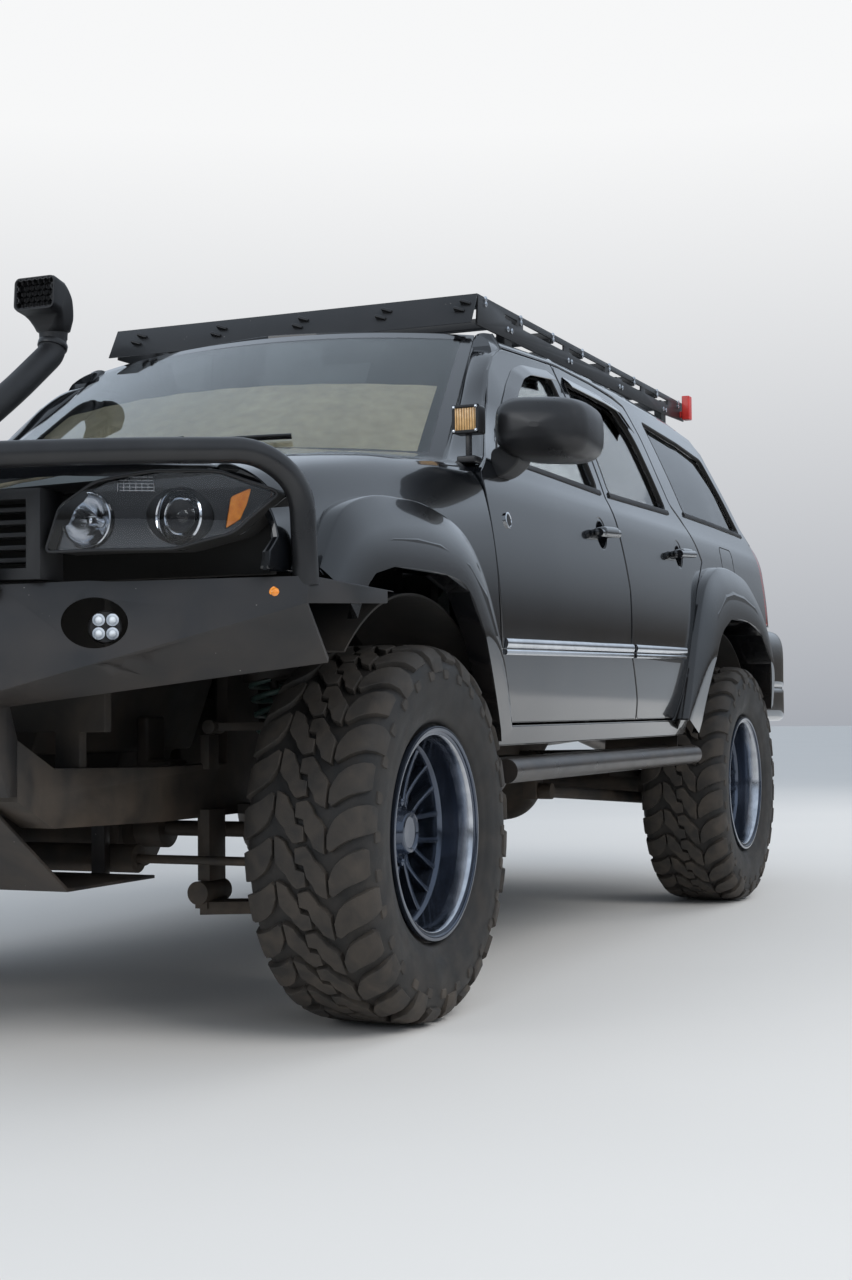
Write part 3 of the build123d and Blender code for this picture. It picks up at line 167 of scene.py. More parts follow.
dustBrown = (0.2, 0.145, 0.1)
# look: two colours it wanders between, noise scale, roughness range, and what the others say by name
finishes = {
    "paint": dict(dark=(0.0035, 0.004, 0.005), light=(0.006, 0.0068, 0.0085), scale=1.5, rough=(0.16, 0.22),
        coat=1.0, coatRough=0.015, specular=0.3, grain=0.012, grainScale=260.0, dust=dustBrown, dustTop=0.95,
        dustFull=0.45, dustAmount=0.16),
    "plate": dict(dark=(0.012, 0.0125, 0.0135), light=(0.02, 0.02, 0.0215), scale=9.0, rough=(0.34, 0.48),
        grain=0.12, grainScale=900.0, specks=(0.3, 0.28, 0.26), speckScale=55.0, dust=dustBrown, dustTop=1.0,
        dustFull=0.55, dustAmount=0.22),
    "tube": dict(dark=(0.012, 0.012, 0.013), light=(0.02, 0.02, 0.021), scale=12.0, rough=(0.26, 0.36),
        grain=0.06, grainScale=700.0, dust=dustBrown, dustTop=0.9, dustFull=0.4, dustAmount=0.2),
    "tyre": dict(dark=(0.0085, 0.0085, 0.0085), light=(0.016, 0.0155, 0.015), scale=14.0, rough=(0.5, 0.72),
        grain=0.3, grainScale=420.0, grainDepth=0.002, dust=(0.15, 0.115, 0.085), dustTop=1.1, dustFull=0.3,
        dustAmount=0.14, dustScale=22.0),
    "rim": dict(dark=(0.045, 0.058, 0.085), light=(0.085, 0.105, 0.145), scale=8.0, rough=(0.1, 0.18),
        metal=0.85, coat=0.6, dust=dustBrown, dustTop=0.9, dustFull=0.2, dustAmount=0.06),
    "lip": dict(dark=(0.42, 0.44, 0.48), light=(0.66, 0.68, 0.72), scale=25.0, rough=(0.14, 0.24), metal=1.0,
        grain=0.05, grainScale=500.0),
    "plastic": dict(dark=(0.011, 0.011, 0.012), light=(0.019, 0.019, 0.02), scale=10.0, rough=(0.46, 0.6),
        grain=0.25, grainScale=650.0, dust=dustBrown, dustTop=0.9, dustFull=0.3, dustAmount=0.3),
    "lamp_black": dict(dark=(0.006, 0.006, 0.007), light=(0.01, 0.01, 0.012), scale=6.0, rough=(0.3, 0.38),
        grain=0.02, grainScale=300.0),
    "liner": dict(dark=(0.01, 0.0095, 0.009), light=(0.022, 0.02, 0.018), scale=5.0, rough=(0.7, 0.9),
        grain=0.3, grainScale=200.0, dust=dustBrown, dustTop=1.0, dustFull=0.3, dustAmount=0.4),
    "chassis": dict(dark=(0.014, 0.013, 0.012), light=(0.034, 0.03, 0.026), scale=11.0, rough=(0.5, 0.75),
        grain=0.3, grainScale=160.0, dust=dustBrown, dustTop=0.9, dustFull=0.2, dustAmount=0.55),
    "spring": dict(dark=(0.045, 0.085, 0.075), light=(0.075, 0.125, 0.11), scale=30.0, rough=(0.3, 0.45),
        grain=0.1, grainScale=400.0),
    "bright": dict(dark=(0.55, 0.57, 0.6), light=(0.75, 0.77, 0.8), scale=20.0, rough=(0.1, 0.2), metal=1.0),
    "exhaust": dict(dark=(0.16, 0.15, 0.14), light=(0.32, 0.3, 0.28), scale=18.0, rough=(0.35, 0.55), metal=0.9,
        grain=0.1, grainScale=300.0),
    "trim": dict(dark=(0.02, 0.019, 0.018), light=(0.032, 0.03, 0.028), scale=7.0, rough=(0.55, 0.7),
        grain=0.35, grainScale=500.0),
    "fabric": dict(dark=(0.02, 0.019, 0.018), light=(0.05, 0.047, 0.043), scale=240.0, rough=(0.85, 0.95),
        grain=0.6, grainScale=900.0),
    "amber": dict(dark=(0.75, 0.2, 0.012), light=(0.95, 0.34, 0.03), scale=60.0, rough=(0.1, 0.2), coat=1.0),
    "red": dict(dark=(0.32, 0.008, 0.008), light=(0.48, 0.02, 0.015), scale=60.0, rough=(0.08, 0.16), coat=1.0),
    # tread: the lugs are lighter and browner than the casing, partly dust and partly painted sunlight on the
    # tread blocks
    "tread": dict(dark=(0.017, 0.0158, 0.0145), light=(0.034, 0.031, 0.028), scale=18.0, rough=(0.6, 0.85),
        grain=0.3, grainScale=420.0, grainDepth=0.002, dust=(0.17, 0.13, 0.095), dustTop=1.2, dustFull=0.1,
        dustAmount=0.3, dustScale=22.0),
    "comb": dict(dark=(0.03, 0.03, 0.031), light=(0.05, 0.05, 0.052), scale=30.0, rough=(0.4, 0.55)),
    # clear: a near-white diffuse colour for lens domes, a painted highlight standing in for the glint of clear
    # plastic
    "clear": dict(dark=(0.72, 0.76, 0.8), light=(0.86, 0.9, 0.93), scale=90.0, rough=(0.05, 0.12), coat=1.0),
    "cubeLens": dict(dark=(0.62, 0.36, 0.14), light=(0.8, 0.52, 0.24), scale=70.0, rough=(0.15, 0.25),
        coat=1.0),
    "chrome": dict(dark=(0.62, 0.64, 0.67), light=(0.8, 0.82, 0.85), scale=20.0, rough=(0.05, 0.12), metal=1.0),
    "band": dict(dark=(0.004, 0.004, 0.005), light=(0.008, 0.008, 0.009), scale=9.0, rough=(0.08, 0.14),
        coat=1.0),
    "smoke": dict(dark=(0.005, 0.005, 0.006), light=(0.01, 0.01, 0.012), scale=9.0, rough=(0.06, 0.12),
        coat=1.0),
    "mirror": dict(dark=(0.72, 0.74, 0.76), light=(0.82, 0.84, 0.86), scale=5.0, rough=(0.01, 0.03), metal=1.0),
    "shade": dict(dark=(0.42, 0.33, 0.22), light=(0.56, 0.45, 0.31), scale=30.0, rough=(0.5, 0.7), grain=0.3,
        grainScale=300.0),
    "magenta": dict(dark=(0.42, 0.02, 0.16), light=(0.55, 0.04, 0.22), scale=30.0, rough=(0.3, 0.45), coat=0.4),
    "signal": dict(dark=(0.5, 0.02, 0.015), light=(0.62, 0.04, 0.03), scale=25.0, rough=(0.35, 0.5), coat=0.3,
        grain=0.1, grainScale=300.0),
}
looks = {name: finishMaterial(name, look) for name, look in finishes.items()}
for name, tint, smear in (("glass", (0.34, 0.37, 0.37), 0.02), ("screen", (0.8, 0.86, 0.85), 0.02),
                          ("privacy", (0.16, 0.17, 0.175), 0.02), ("lens", (0.97, 0.98, 1.0), 0.01)):
    looks[name] = glassMaterial(name, tint, smear)

# which finish a CAD node shows where no piece stands for it
slotLooks = {
   "body_paint": "paint", "clear_glass": "glass", "lamp_lens": "lens", "red_lens": "red", "tyre_rubber": "tyre",
    "rim_black": "rim", "chassis_steel": "chassis", "spring_steel": "spring", "exhaust_steel": "exhaust",
    "armour_plate": "plate", "black_plastic": "plastic", "floor_paint": "liner", "cabin_trim": "trim",
    "seat_fabric": "fabric"}
nodeSlot = {part["node"]: part["material_slot"] for part in frame["record"]["subparts"]}
for node, item in nodes.items():
    item.data.materials.clear()
    item.data.materials.append(looks[slotLooks[nodeSlot[node]]])
print("materials ready")


# Studio and camera

studio = {"floor": (0.72, 0.69, 0.65), "world": 0.62, "key": 360.0, "fill": 110.0, "rear": 200.0}
photoCamera = {"place": (2.5446, -5.1923, 0.6886), "yaw": -23.603, "pitch": 2.164, "roll": -0.539,
               "lens": 1852.22 / 1280 * 36}


def placeCamera():
    yaw, pitch, roll = (math.radians(photoCamera[key]) for key in ("yaw", "pitch", "roll"))
    forward = Vector((math.sin(yaw) * math.cos(pitch), math.cos(yaw) * math.cos(pitch), math.sin(pitch)))
    right = Vector((math.cos(yaw), -math.sin(yaw), 0.0))
    up = right.cross(forward)
    right, up = right * math.cos(roll) + up * math.sin(roll), up * math.cos(roll) - right * math.sin(roll)
    data = bpy.data.cameras.new("photoCamera")
    data.lens, data.sensor_width, data.clip_end = photoCamera["lens"], 36.0, 200.0
    camera = bpy.data.objects.new("photoCamera", data)
    turn = Matrix((right, up, -forward)).transposed().to_4x4()
    camera.matrix_world = Matrix.Translation(photoCamera["place"]) @ turn
    bpy.context.scene.collection.objects.link(camera)
    bpy.context.scene.camera = camera


def areaLight(name, place, target, size, power, mirrored=True):
    data = bpy.data.lights.new(name, "AREA")
    data.shape, data.size, data.size_y, data.energy = "RECTANGLE", size[0], size[1], power
    light = bpy.data.objects.new(name, data)
    aim = (Vector(target) - Vector(place)).to_track_quat("-Z", "Y")
    light.matrix_world = Matrix.Translation(place) @ aim.to_matrix().to_4x4()
    light.visible_glossy = mirrored   # the key stays out of the paint's reflections
    bpy.context.scene.collection.objects.link(light)


def buildStudio():
    world = bpy.data.worlds.new("studioWorld")
    bpy.context.scene.world = world
    world.use_nodes = True
    tree = world.node_tree
    back = tree.nodes["Background"]
    coords = tree.nodes.new("ShaderNodeTexCoord")
    split = tree.nodes.new("ShaderNodeSeparateXYZ")
    tree.links.new(coords.outputs["Generated"], split.inputs["Vector"])
    height = mapRange(tree, split.outputs["Z"], 0.02, 0.28, 0.0, 1.0)
    sky = mixColours(tree, height, (0.11, 0.105, 0.1, 1.0), (0.98, 1.12, 1.3, 1.0))
    path = tree.nodes.new("ShaderNodeLightPath")
    haze = mapRange(tree, split.outputs["Z"], -0.02, 0.3, 0.0, 1.0)
    backdrop = mixColours(tree, haze, (0.37, 0.39, 0.43, 1.0), (0.93, 0.935, 0.94, 1.0))
    seen = mixColours(tree, path.outputs["Is Camera Ray"], sky, backdrop)
    tree.links.new(seen, back.inputs["Color"])
    strength = mapRange(tree, path.outputs["Is Camera Ray"], 0.0, 1.0, studio["world"], 1.0)
    tree.links.new(strength, back.inputs["Strength"])
    areaLight("keyLight", (6.5, -3.5, 6.0), (0.0, -0.5, 0.8), (5.0, 4.0), studio["key"], False)
    areaLight("fillLight", (-3.5, -8.5, 4.5), (0.0, -1.5, 0.8), (5.0, 3.0), studio["fill"])
    areaLight("rearLight", (3.5, 7.5, 5.0), (0.0, 1.0, 1.2), (5.0, 3.0), studio["rear"], False)
    size = 60.0
    mesh = bpy.data.meshes.new("studioFloor")
    mesh.from_pydata([(-size, -size, 0), (size, -size, 0), (size, size, 0), (-size, size, 0)], [],
                     [(0, 1, 2, 3)])
    floor = bpy.data.objects.new("studioFloor", mesh)
    ground = finishMaterial("studioGround", dict(
        dark=tuple(0.97 * c for c in studio["floor"]), light=studio["floor"], scale=0.7, rough=(0.75, 0.85)))
    mesh.materials.append(ground)
    bpy.context.scene.collection.objects.link(floor)
    bpy.context.scene.view_settings.view_transform = "Standard"


placeCamera()
buildStudio()
print("studio and camera ready")


# Shared shape tools

def rowPlace(points):
    # (x, station, height) to the frame's own coordinates
    points = np.array(points, float)
    points[..., 1] += frontAxleY
    return points


def smoothTable(xs, ys, at):
    # cubic pieces through a table, with slopes that never overshoot it
    xs, ys, at = np.asarray(xs, float), np.asarray(ys, float), np.asarray(at, float)
    steps = np.diff(xs)
    rises = np.diff(ys) / steps
    slopes = np.zeros_like(ys)
    same = rises[:-1] * rises[1:] > 0
    first, second = 2 * steps[1:] + steps[:-1], steps[1:] + 2 * steps[:-1]
    with np.errstate(divide="ignore", invalid="ignore"):
        mean = (first + second) / (first / rises[:-1] + second / rises[1:])
    slopes[1:-1] = np.where(same, mean, 0.0)
    slopes[0], slopes[-1] = rises[0], rises[-1]
    at = np.clip(at, xs[0], xs[-1])
    index = np.clip(np.searchsorted(xs, at) - 1, 0, len(xs) - 2)
    t = (at - xs[index]) / steps[index]
    h00, h10 = (1 + 2 * t) * (1 - t) ** 2, t * (1 - t) ** 2
    h01, h11 = t * t * (3 - 2 * t), t * t * (t - 1)
    return (h00 * ys[index] + h10 * steps[index] * slopes[index]
            + h01 * ys[index + 1] + h11 * steps[index] * slopes[index + 1])


def smoothStep(low, high, value):
    # 3t^2 - 2t^3 between low and high, 0 before and 1 after
    t = np.clip((np.asarray(value, float) - low) / (high - low), 0, 1)
    return t * t * (3 - 2 * t)


def unit(vectors):
    # each vector divided by its length
    return vectors / np.maximum(np.linalg.norm(vectors, axis=-1, keepdims=True), 1e-12)


def curveBetween(a, b, c, d, t):
    # the Catmull-Rom curve from b to c
    return 0.5 * (2 * b + (c - a) * t + (2 * a - 5 * b + 4 * c - d) * t ** 2
                  + (3 * b - a - 3 * c + d) * t ** 3)


def smoothPath(points, count):
    # a curve through the points (Catmull-Rom), sampled evenly along its length
    points = np.array(points, float)
    padded = np.vstack([2 * points[0] - points[1], points, 2 * points[-1] - points[-2]])
    spans = len(padded) - 3
    fine = np.linspace(0, spans, spans * 24 + 1)
    index = np.minimum(fine.astype(int), spans - 1)
    t = (fine - index)[:, None]
    curve = curveBetween(*(padded[index + k] for k in range(4)), t)
    length = np.concatenate([[0], np.cumsum(np.linalg.norm(np.diff(curve, axis=0), axis=1))])
    at = np.linspace(0, length[-1], count)
    return np.column_stack([np.interp(at, length, curve[:, k]) for k in range(curve.shape[1])])


def roundedPath(corners, radius, step, closed=False):
    # straight runs with each corner softened over the given reach, divided every step
    corners = [np.array(c, float) for c in corners]
    count = len(corners)
    pieces = []
    for index in range(count):
        here = corners[index]
        if not closed and index in (0, count - 1):
            pieces.append(here[None])
            continue
        before, after = corners[index - 1] - here, corners[(index + 1) % count] - here
        reach = min(radius, 0.48 * np.linalg.norm(before), 0.48 * np.linalg.norm(after))
        start, end = here + unit(before) * reach, here + unit(after) * reach
        t = np.linspace(0, 1, 7)[:, None]
        pieces.append(start * (1 - t) ** 2 + here * 2 * t * (1 - t) + end * t ** 2)
    line = np.vstack(pieces)
    if closed:
        line = np.vstack([line, line[:1]])
    result = []
    for start, end in zip(line[:-1], line[1:]):
        parts = max(1, int(np.ceil(np.linalg.norm(end - start) / step)))
        result.append(start + (end - start) * (np.arange(parts) / parts)[:, None])
    if not closed:
        result.append(line[-1:])
    line = np.vstack(result)
    keep = np.ones(len(line), bool)
    keep[1:] = np.linalg.norm(np.diff(line, axis=0), axis=1) > 1e-5
    return line[keep]


def gridFaces(rows, columns, closeRows=False, closeColumns=False, offset=0):
    # the four-sided faces between neighbouring points of a grid
    r = np.arange(rows if closeRows else rows - 1)[:, None]
    c = np.arange(columns if closeColumns else columns - 1)[None]
    a, b = r * columns + c, r * columns + (c + 1) % columns
    d, e = (r + 1) % rows * columns + c, (r + 1) % rows * columns + (c + 1) % columns
    return np.stack([a, b, e, d], -1).reshape(-1, 4) + offset


def endCaps(rows, columns):
    # the first and last row of a tube's grid as two faces that look away from each other
    return [[list(range(columns))], [[(rows - 1) * columns + k for k in range(columns - 1, -1, -1)]]]


def addPiece(name, shape, look, body, replaced=(), sharp=None):
    # a shape is (points, list of face index arrays, normals or None); edges over the sharp angle stay hard
    points, faces, normals = shape
    mesh = bpy.data.meshes.new(name)
    faces = [face for block in faces for face in np.asarray(block).tolist()]
    mesh.from_pydata(np.asarray(points, float).tolist(), [], faces)
    mesh.polygons.foreach_set("use_smooth", np.ones(len(mesh.polygons), bool))
    if sharp is not None:
        mesh.set_sharp_from_angle(angle=math.radians(sharp))
    if normals is not None:
        mesh.normals_split_custom_set_from_vertices(unit(np.asarray(normals, float)).tolist())
    mesh.materials.append(looks[look])
    mesh.update()
    piece = bpy.data.objects.new(name, mesh)
    bpy.context.scene.collection.objects.link(piece)
    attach(piece, body)
    if replaced:
        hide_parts(*replaced)


def insidePolygon(points, polygon):
    # crossing count of a ray along the first axis
    x, y = points[:, 0:1], points[:, 1:2]
    x0, y0 = polygon[:, 0][None], polygon[:, 1][None]
    x1, y1 = np.roll(polygon[:, 0], -1)[None], np.roll(polygon[:, 1], -1)[None]
    spans = (y0 > y) != (y1 > y)
    with np.errstate(divide="ignore", invalid="ignore"):
        cross = x0 + (y - y0) * (x1 - x0) / (y1 - y0)
    return (np.sum(spans & (x < cross), axis=1) % 2) == 1


def trimmedSheet(outline, holes, surface, smooth, radius=0.03, spacing=0.03, edgeRoll=0.004, flange=0.012,
                 lift=0.002, backed=0.0, scale=(1.0, 1.0)):
    # A sheet on surface(u, v), cut to an outline with holes. A regular net of points fills it, each edge rolls
    # over on a quarter circle, and a flange turns inwards. The normals come from the smooth surface.
    # scale gives the length of one step of u and of v, so that the net is about square.
    scale = np.array(scale, float)
    outline, holes = np.array(outline) * scale, [np.array(hole) * scale for hole in holes]
    loops = [roundedPath(outline, radius, spacing, True)]
    loops += [roundedPath(hole, 0.028, spacing, True) for hole in holes]
    rings, net, edges, kinds = [], [], [], []
    start = 0
    for number, loop in enumerate(loops):
        after, before = np.roll(loop, -1, 0), np.roll(loop, 1, 0)
        area = np.sum(loop[:, 0] * after[:, 1] - after[:, 0] * loop[:, 1])
        if (area > 0) != (number == 0):
            loop = loop[::-1]
            after, before = np.roll(loop, -1, 0), np.roll(loop, 1, 0)
        tangent = unit(unit(after - loop) + unit(loop - before))
        inward = np.column_stack([-tangent[:, 1], tangent[:, 0]])
        for kind, share in enumerate((0.0, 0.3, 1.0)):
            net.append(loop + inward * share * edgeRoll)
            kinds.append(np.full(len(loop), kind))
            index = start + np.arange(len(loop))
            edges.append(np.column_stack([index, np.roll(index, -1)]))
            rings.append(inward)
            start += len(loop)
    outer = net[2]
    low, high = outer.min(0), outer.max(0)
    u, v = np.meshgrid(np.arange(low[0], high[0], spacing), np.arange(low[1], high[1], spacing),
                       indexing="ij")
    inner = np.column_stack([u.ravel(), v.ravel()])
    keep = insidePolygon(inner, outer)
    for number in range(1, len(loops)):
        keep &= ~insidePolygon(inner, net[3 * number + 2])
    inner = inner[keep]
    border = np.vstack([net[3 * number + 2] for number in range(len(loops))])
    gap = np.concatenate([np.sqrt(((part[:, None] - border[None]) ** 2).sum(2)).min(1)
                          for part in np.array_split(inner, max(1, len(inner) // 400 + 1))])
    inner = inner[gap > 0.35 * spacing]
    flat = np.vstack(net + [inner])
    made = delaunay_2d_cdt([Vector(p) for p in flat.tolist()], np.vstack(edges).tolist(), [], 0, 1e-7)
    found = np.array([source[0] if source else -1 for source in made[3]])
    coords = np.array([tuple(p) for p in made[0]])
    tris = np.array([face for face in made[2] if len(face) == 3])
    middle = coords[tris].mean(1)
    wanted = insidePolygon(middle, net[0])
    for number in range(1, len(loops)):
        wanted &= ~insidePolygon(middle, net[3 * number])
    tris = tris[wanted]
    ringKind = np.concatenate(kinds + [np.full(len(inner), 3)])
    ringIn = np.vstack(rings + [np.zeros((len(inner), 2))])
    kind = np.where(found >= 0, ringKind[found], 3)
    inward = np.where((found >= 0)[:, None], ringIn[found], 0.0)
    coords = coords / scale
    base = surface(coords[:, 0], coords[:, 1])
    du = (smooth(coords[:, 0] + probe, coords[:, 1]) - smooth(coords[:, 0] - probe, coords[:, 1])) / (2 * probe)
    dv = (smooth(coords[:, 0], coords[:, 1] + probe) - smooth(coords[:, 0], coords[:, 1] - probe)) / (2 * probe)
    normal = unit(np.cross(du, dv))
    outward = -unit(inward[:, 0:1] * du + inward[:, 1:2] * dv)
    outward = np.where((kind < 3)[:, None], outward, 0.0)
    depth = np.array([edgeRoll, edgeRoll * 0.29, 0.0, 0.0])[kind]
    tilt = np.array([1.45, 0.78, 0.0, 0.0])[kind][:, None]
    points = base + normal * (lift - depth)[:, None]
    normals = normal * np.cos(tilt) + outward * np.sin(tilt)
    turned = np.einsum("ij,ij->i", np.cross(points[tris[:, 1]] - points[tris[:, 0]],
                                            points[tris[:, 2]] - points[tris[:, 0]]), normal[tris[:, 0]]) < 0
    tris[turned] = tris[turned][:, ::-1]
    faces = [tris]
    order = np.argsort(found, kind="stable")
    place = np.full(len(flat), -1)
    place[found[order[found[order] >= 0]]] = order[found[order] >= 0]
    allPoints, allNormals = [points], [normals]
    if backed:
        allPoints.append(points - normal * backed)
        allNormals.append(-normal)
        faces.append(tris[:, ::-1] + len(points))
    total = sum(len(part) for part in allPoints)
    for number in range(len(loops)):
        ring = place[sum(len(net[k]) for k in range(3 * number)) + np.arange(len(net[3 * number]))]
        ring = ring[ring >= 0]
        drop = backed if backed else flange
        low = points[ring] - normal[ring] * drop
        index = total + np.arange(len(ring))
        quads = np.column_stack([ring, np.roll(ring, -1), np.roll(index, -1), index])
        facing = np.cross(points[quads[0, 1]] - points[quads[0, 0]], -normal[quads[0, 0]])
        if facing @ outward[quads[0, 0]] < 0:
            quads = quads[:, ::-1]
        allPoints.append(low)
        allNormals.append(outward[ring])
        faces.append(quads)
        total += len(ring)
    return np.vstack(allPoints), faces, np.vstack(allNormals)


def otherSide(shape):
    # the mirror image in x, with its faces turned so that they still look out
    points, faces, normals = shape
    flip = np.array([-1.0, 1.0, 1.0])
    turned = [np.asarray(block)[:, ::-1] for block in faces]
    return points * flip, turned, None if normals is None else normals * flip


def joinShapes(shapes):
    # several point and face sets as one
    faces, total = [], 0
    for shape in shapes:
        faces += [np.asarray(block) + total for block in shape[1]]
        total += len(shape[0])
    return np.vstack([shape[0] for shape in shapes]), faces, None


def sweepProfile(path, profile, up=(0, 0, 1), closed=False):
    # a profile of (side, lift) offsets carried along a path
    if closed:
        along = unit(np.roll(path, -1, 0) - np.roll(path, 1, 0))
    else:
        along = unit(np.gradient(path, axis=0))
    side = unit(np.cross(along, np.broadcast_to(np.asarray(up, float), path.shape)))
    lift = np.cross(side, along)
    points = path[:, None] + side[:, None] * profile[None, :, 0:1] + lift[:, None] * profile[None, :, 1:2]
    rows, columns = points.shape[:2]
    faces = [gridFaces(rows, columns, closed, True)] + ([] if closed else endCaps(rows, columns))
    return points.reshape(-1, 3), faces, None


def ring(radius, count):
    # a circle of points
    angle = np.arange(count) * 2 * np.pi / count
    return np.column_stack([radius * np.cos(angle), radius * np.sin(angle)])


def turnedShape(profile, count, axis=0, closed=False):
    # (along, radius) points turned about an axis: about x, y and z are the radius times cos and sin
    profile = np.asarray(profile, float)
    angle = np.arange(count) * 2 * np.pi / count
    along = np.broadcast_to(profile[None, :, 0], (count, len(profile)))
    first, second = np.cos(angle)[:, None] * profile[None, :, 1], np.sin(angle)[:, None] * profile[None, :, 1]
    columns = {0: (along, first, second), 1: (second, along, first), 2: (first, second, along)}[axis]
    return np.stack(columns, -1).reshape(-1, 3), [gridFaces(count, len(profile), True, closed)], None


def roundedBox(centre, size, radius=0.004, axes=None, steps=3):
    # a box with round edges and corners: the points of a cube's net, pushed out by the radius
    half = np.array(size, float) / 2 - radius
    side = np.concatenate([-np.ones(steps + 1), np.ones(steps + 1)])
    bend = np.tan(np.concatenate([np.linspace(-1, 0, steps + 1), np.linspace(0, 1, steps + 1)]) * np.pi / 4)
    n = len(side)
    allPoints, faces = [], []
    for axis in range(3):
        for sign in (-1, 1):
            a, b = (axis + 1) % 3, (axis + 2) % 3
            direction = np.zeros((n, n, 3))
            core = np.zeros((n, n, 3))
            direction[..., axis], core[..., axis] = sign, sign * half[axis]
            direction[..., a], direction[..., b] = bend[:, None], bend[None]
            core[..., a], core[..., b] = (side * half[a])[:, None], (side * half[b])[None]
            block = core + unit(direction) * radius
            quads = gridFaces(n, n, offset=len(allPoints) * n * n)
            faces.append(quads if sign > 0 else quads[:, ::-1])
            allPoints.append(block.reshape(-1, 3))
    points = np.vstack(allPoints)
    if axes is not None:
        points = points @ np.array(axes, float)
    return points + np.asarray(centre, float), faces, None


print("shape tools ready")


# Body panels
# The CAD walls are ruled between arcs at ten stations. A panel skin takes its place from the same arcs
# and its normals from a smooth version of them, so that reflections run on without a break.

sideLevels = [(0.59, 0.872), (0.655, 0.889), (0.73, 0.903), (0.96, 0.917), (1.2, 0.896), (1.258, 0.884),
              (1.3, 0.866), (1.5, 0.796), (1.69, 0.716), (1.724, 0.697), (1.748, 0.652)]
# station, narrowing, further narrowing of the glasshouse, roof drop
sideStations = np.array([(0.34, 0.003, 0.056, 0.04), (0.62, 0.002, 0.05, 0.034), (0.9, 0.0, 0.026, 0.022),
                         (1.45, 0.0, 0.0, 0.004), (2.1, 0.006, 0.0, 0.0), (2.7, 0.02, 0.002, 0.006),
                         (3.1, 0.036, 0.008, 0.02), (3.35, 0.05, 0.024, 0.036), (3.56, 0.076, 0.052, 0.052),
                         (3.69, 0.13, 0.06, 0.06)])


def arcsThrough(line):
    # centre, radius and side of each circle through three neighbouring (half width, height) points
    found = []
    for k in range(0, len(line) - 2, 2):
        (ax, az), (bx, bz), (cx, cz) = line[k:k + 3]
        d = 2 * (ax * (bz - cz) + bx * (cz - az) + cx * (az - bz))
        a2, b2, c2 = ax * ax + az * az, bx * bx + bz * bz, cx * cx + cz * cz
        x = (a2 * (bz - cz) + b2 * (cz - az) + c2 * (az - bz)) / d
        z = (a2 * (cx - bx) + b2 * (ax - cx) + c2 * (bx - ax)) / d
        found.append((cz, x, z, math.hypot(ax - x, az - z), 1.0 if bx > x else -1.0))
    return np.array(found)


def sideRow(narrow, glassNarrow, drop):
    # the (half width, height) points of one section, from the lowest level to the roof
    return [(x - narrow - (glassNarrow if z > 1.3 else 0.0), z - (drop if z > 1.6 else 0.0))
            for z, x in sideLevels]


sideArcs = np.array([arcsThrough(sideRow(*row[1:])) for row in sideStations])


def rowBefore(stations, u):
    # the table row before each station, and the share of the way to the next
    index = np.clip(np.searchsorted(stations, u) - 1, 0, len(stations) - 2)
    return index, (u - stations[index]) / (stations[index + 1] - stations[index])


def sideExact(u, v):
    # circles through three levels each, at the stations before and after, mixed in a straight line
    u, v = np.asarray(u, float), np.asarray(v, float)
    index, t = rowBefore(sideStations[:, 0], u)
    widths = []
    for arcs in (sideArcs[index], sideArcs[index + 1]):
        which = np.minimum((v[:, None] > arcs[:, :, 0]).sum(1), arcs.shape[1] - 1)
        arc = arcs[np.arange(len(v)), which]
        widths.append(arc[:, 1] + arc[:, 4] * np.sqrt(np.maximum(arc[:, 3] ** 2 - (v - arc[:, 2]) ** 2, 0.0)))
    return np.column_stack([widths[0] * (1 - t) + widths[1] * t, u + frontAxleY, v])


levelTable = np.array(sideLevels)


def sideSmooth(u, v):
    # the same surface with smooth curves through levels and stations
    narrow, glassNarrow, drop = (smoothTable(sideStations[:, 0], sideStations[:, k], u) for k in (1, 2, 3))
    x = smoothTable(levelTable[:, 0], levelTable[:, 1], v + drop * smoothStep(1.5, 1.69, v))
    return np.column_stack([x - narrow - glassNarrow * smoothStep(1.3, 1.5, v), u + frontAxleY, v])


def metres(points):
    return [(u / 1000.0, v / 1000.0) for u, v in points]


frontCut = metres([(508, 655), (480, 711), (442, 857), (413, 1050), (397, 1195), (389, 1262)])
doorSplit = metres([(1400, 1300), (1432, 1196), (1478, 1036), (1478, 860), (1580, 713), (1600, 655)])
rearCut = metres([(2162, 1358), (2262, 1306), (2388, 1184), (2258, 1078), (2163, 920), (2085, 750),
                  (2025, 655)])
frontDoorLine = frontCut + metres([(489, 1315), (621, 1401), (748, 1498), (857, 1601), (937, 1654),
                                   (1036, 1692), (1392, 1706)]) + doorSplit
rearDoorLine = ([(u + 0.007, v) for u, v in reversed(doorSplit)]
                + metres([(1399, 1706), (1750, 1703), (1960, 1692), (2062, 1676), (2108, 1574), (2128, 1456)])
                + rearCut)
frontWindow = metres([(590, 1331), (806, 1469), (932, 1557), (1040, 1620), (1130, 1648), (1340, 1664),
                      (1352, 1320)])
rearWindow = metres([(1452, 1320), (1442, 1664), (1760, 1661), (1930, 1650), (2015, 1560), (2085, 1330)])
quarterWindow = metres([(2330, 1345), (2235, 1652), (3090, 1626), (3210, 1490), (3262, 1350)])
quarterLine = metres([(505, 598), (2201, 598), (2212, 690), (2240, 790), (2285, 880), (2370, 960),
                      (2480, 1005), (2750, 1005), (2970, 960), (3110, 860), (3190, 720), (3206, 640),
                      (3206, 1010), (3483, 1010), (3466, 1330), (3628, 1330), (3556, 1480), (3436, 1690),
                      (3350, 1706), (3100, 1722), (2700, 1736), (2100, 1742), (1450, 1738), (1060, 1722),
                      (1034, 1699), (1392, 1713), (1750, 1710), (1961, 1699), (2067, 1681), (2115, 1575),
                      (2135, 1458), (2166, 1363), (2267, 1311), (2398, 1184), (2265, 1075), (2170, 917),
                      (2092, 747), (2032, 648), (501, 648)])


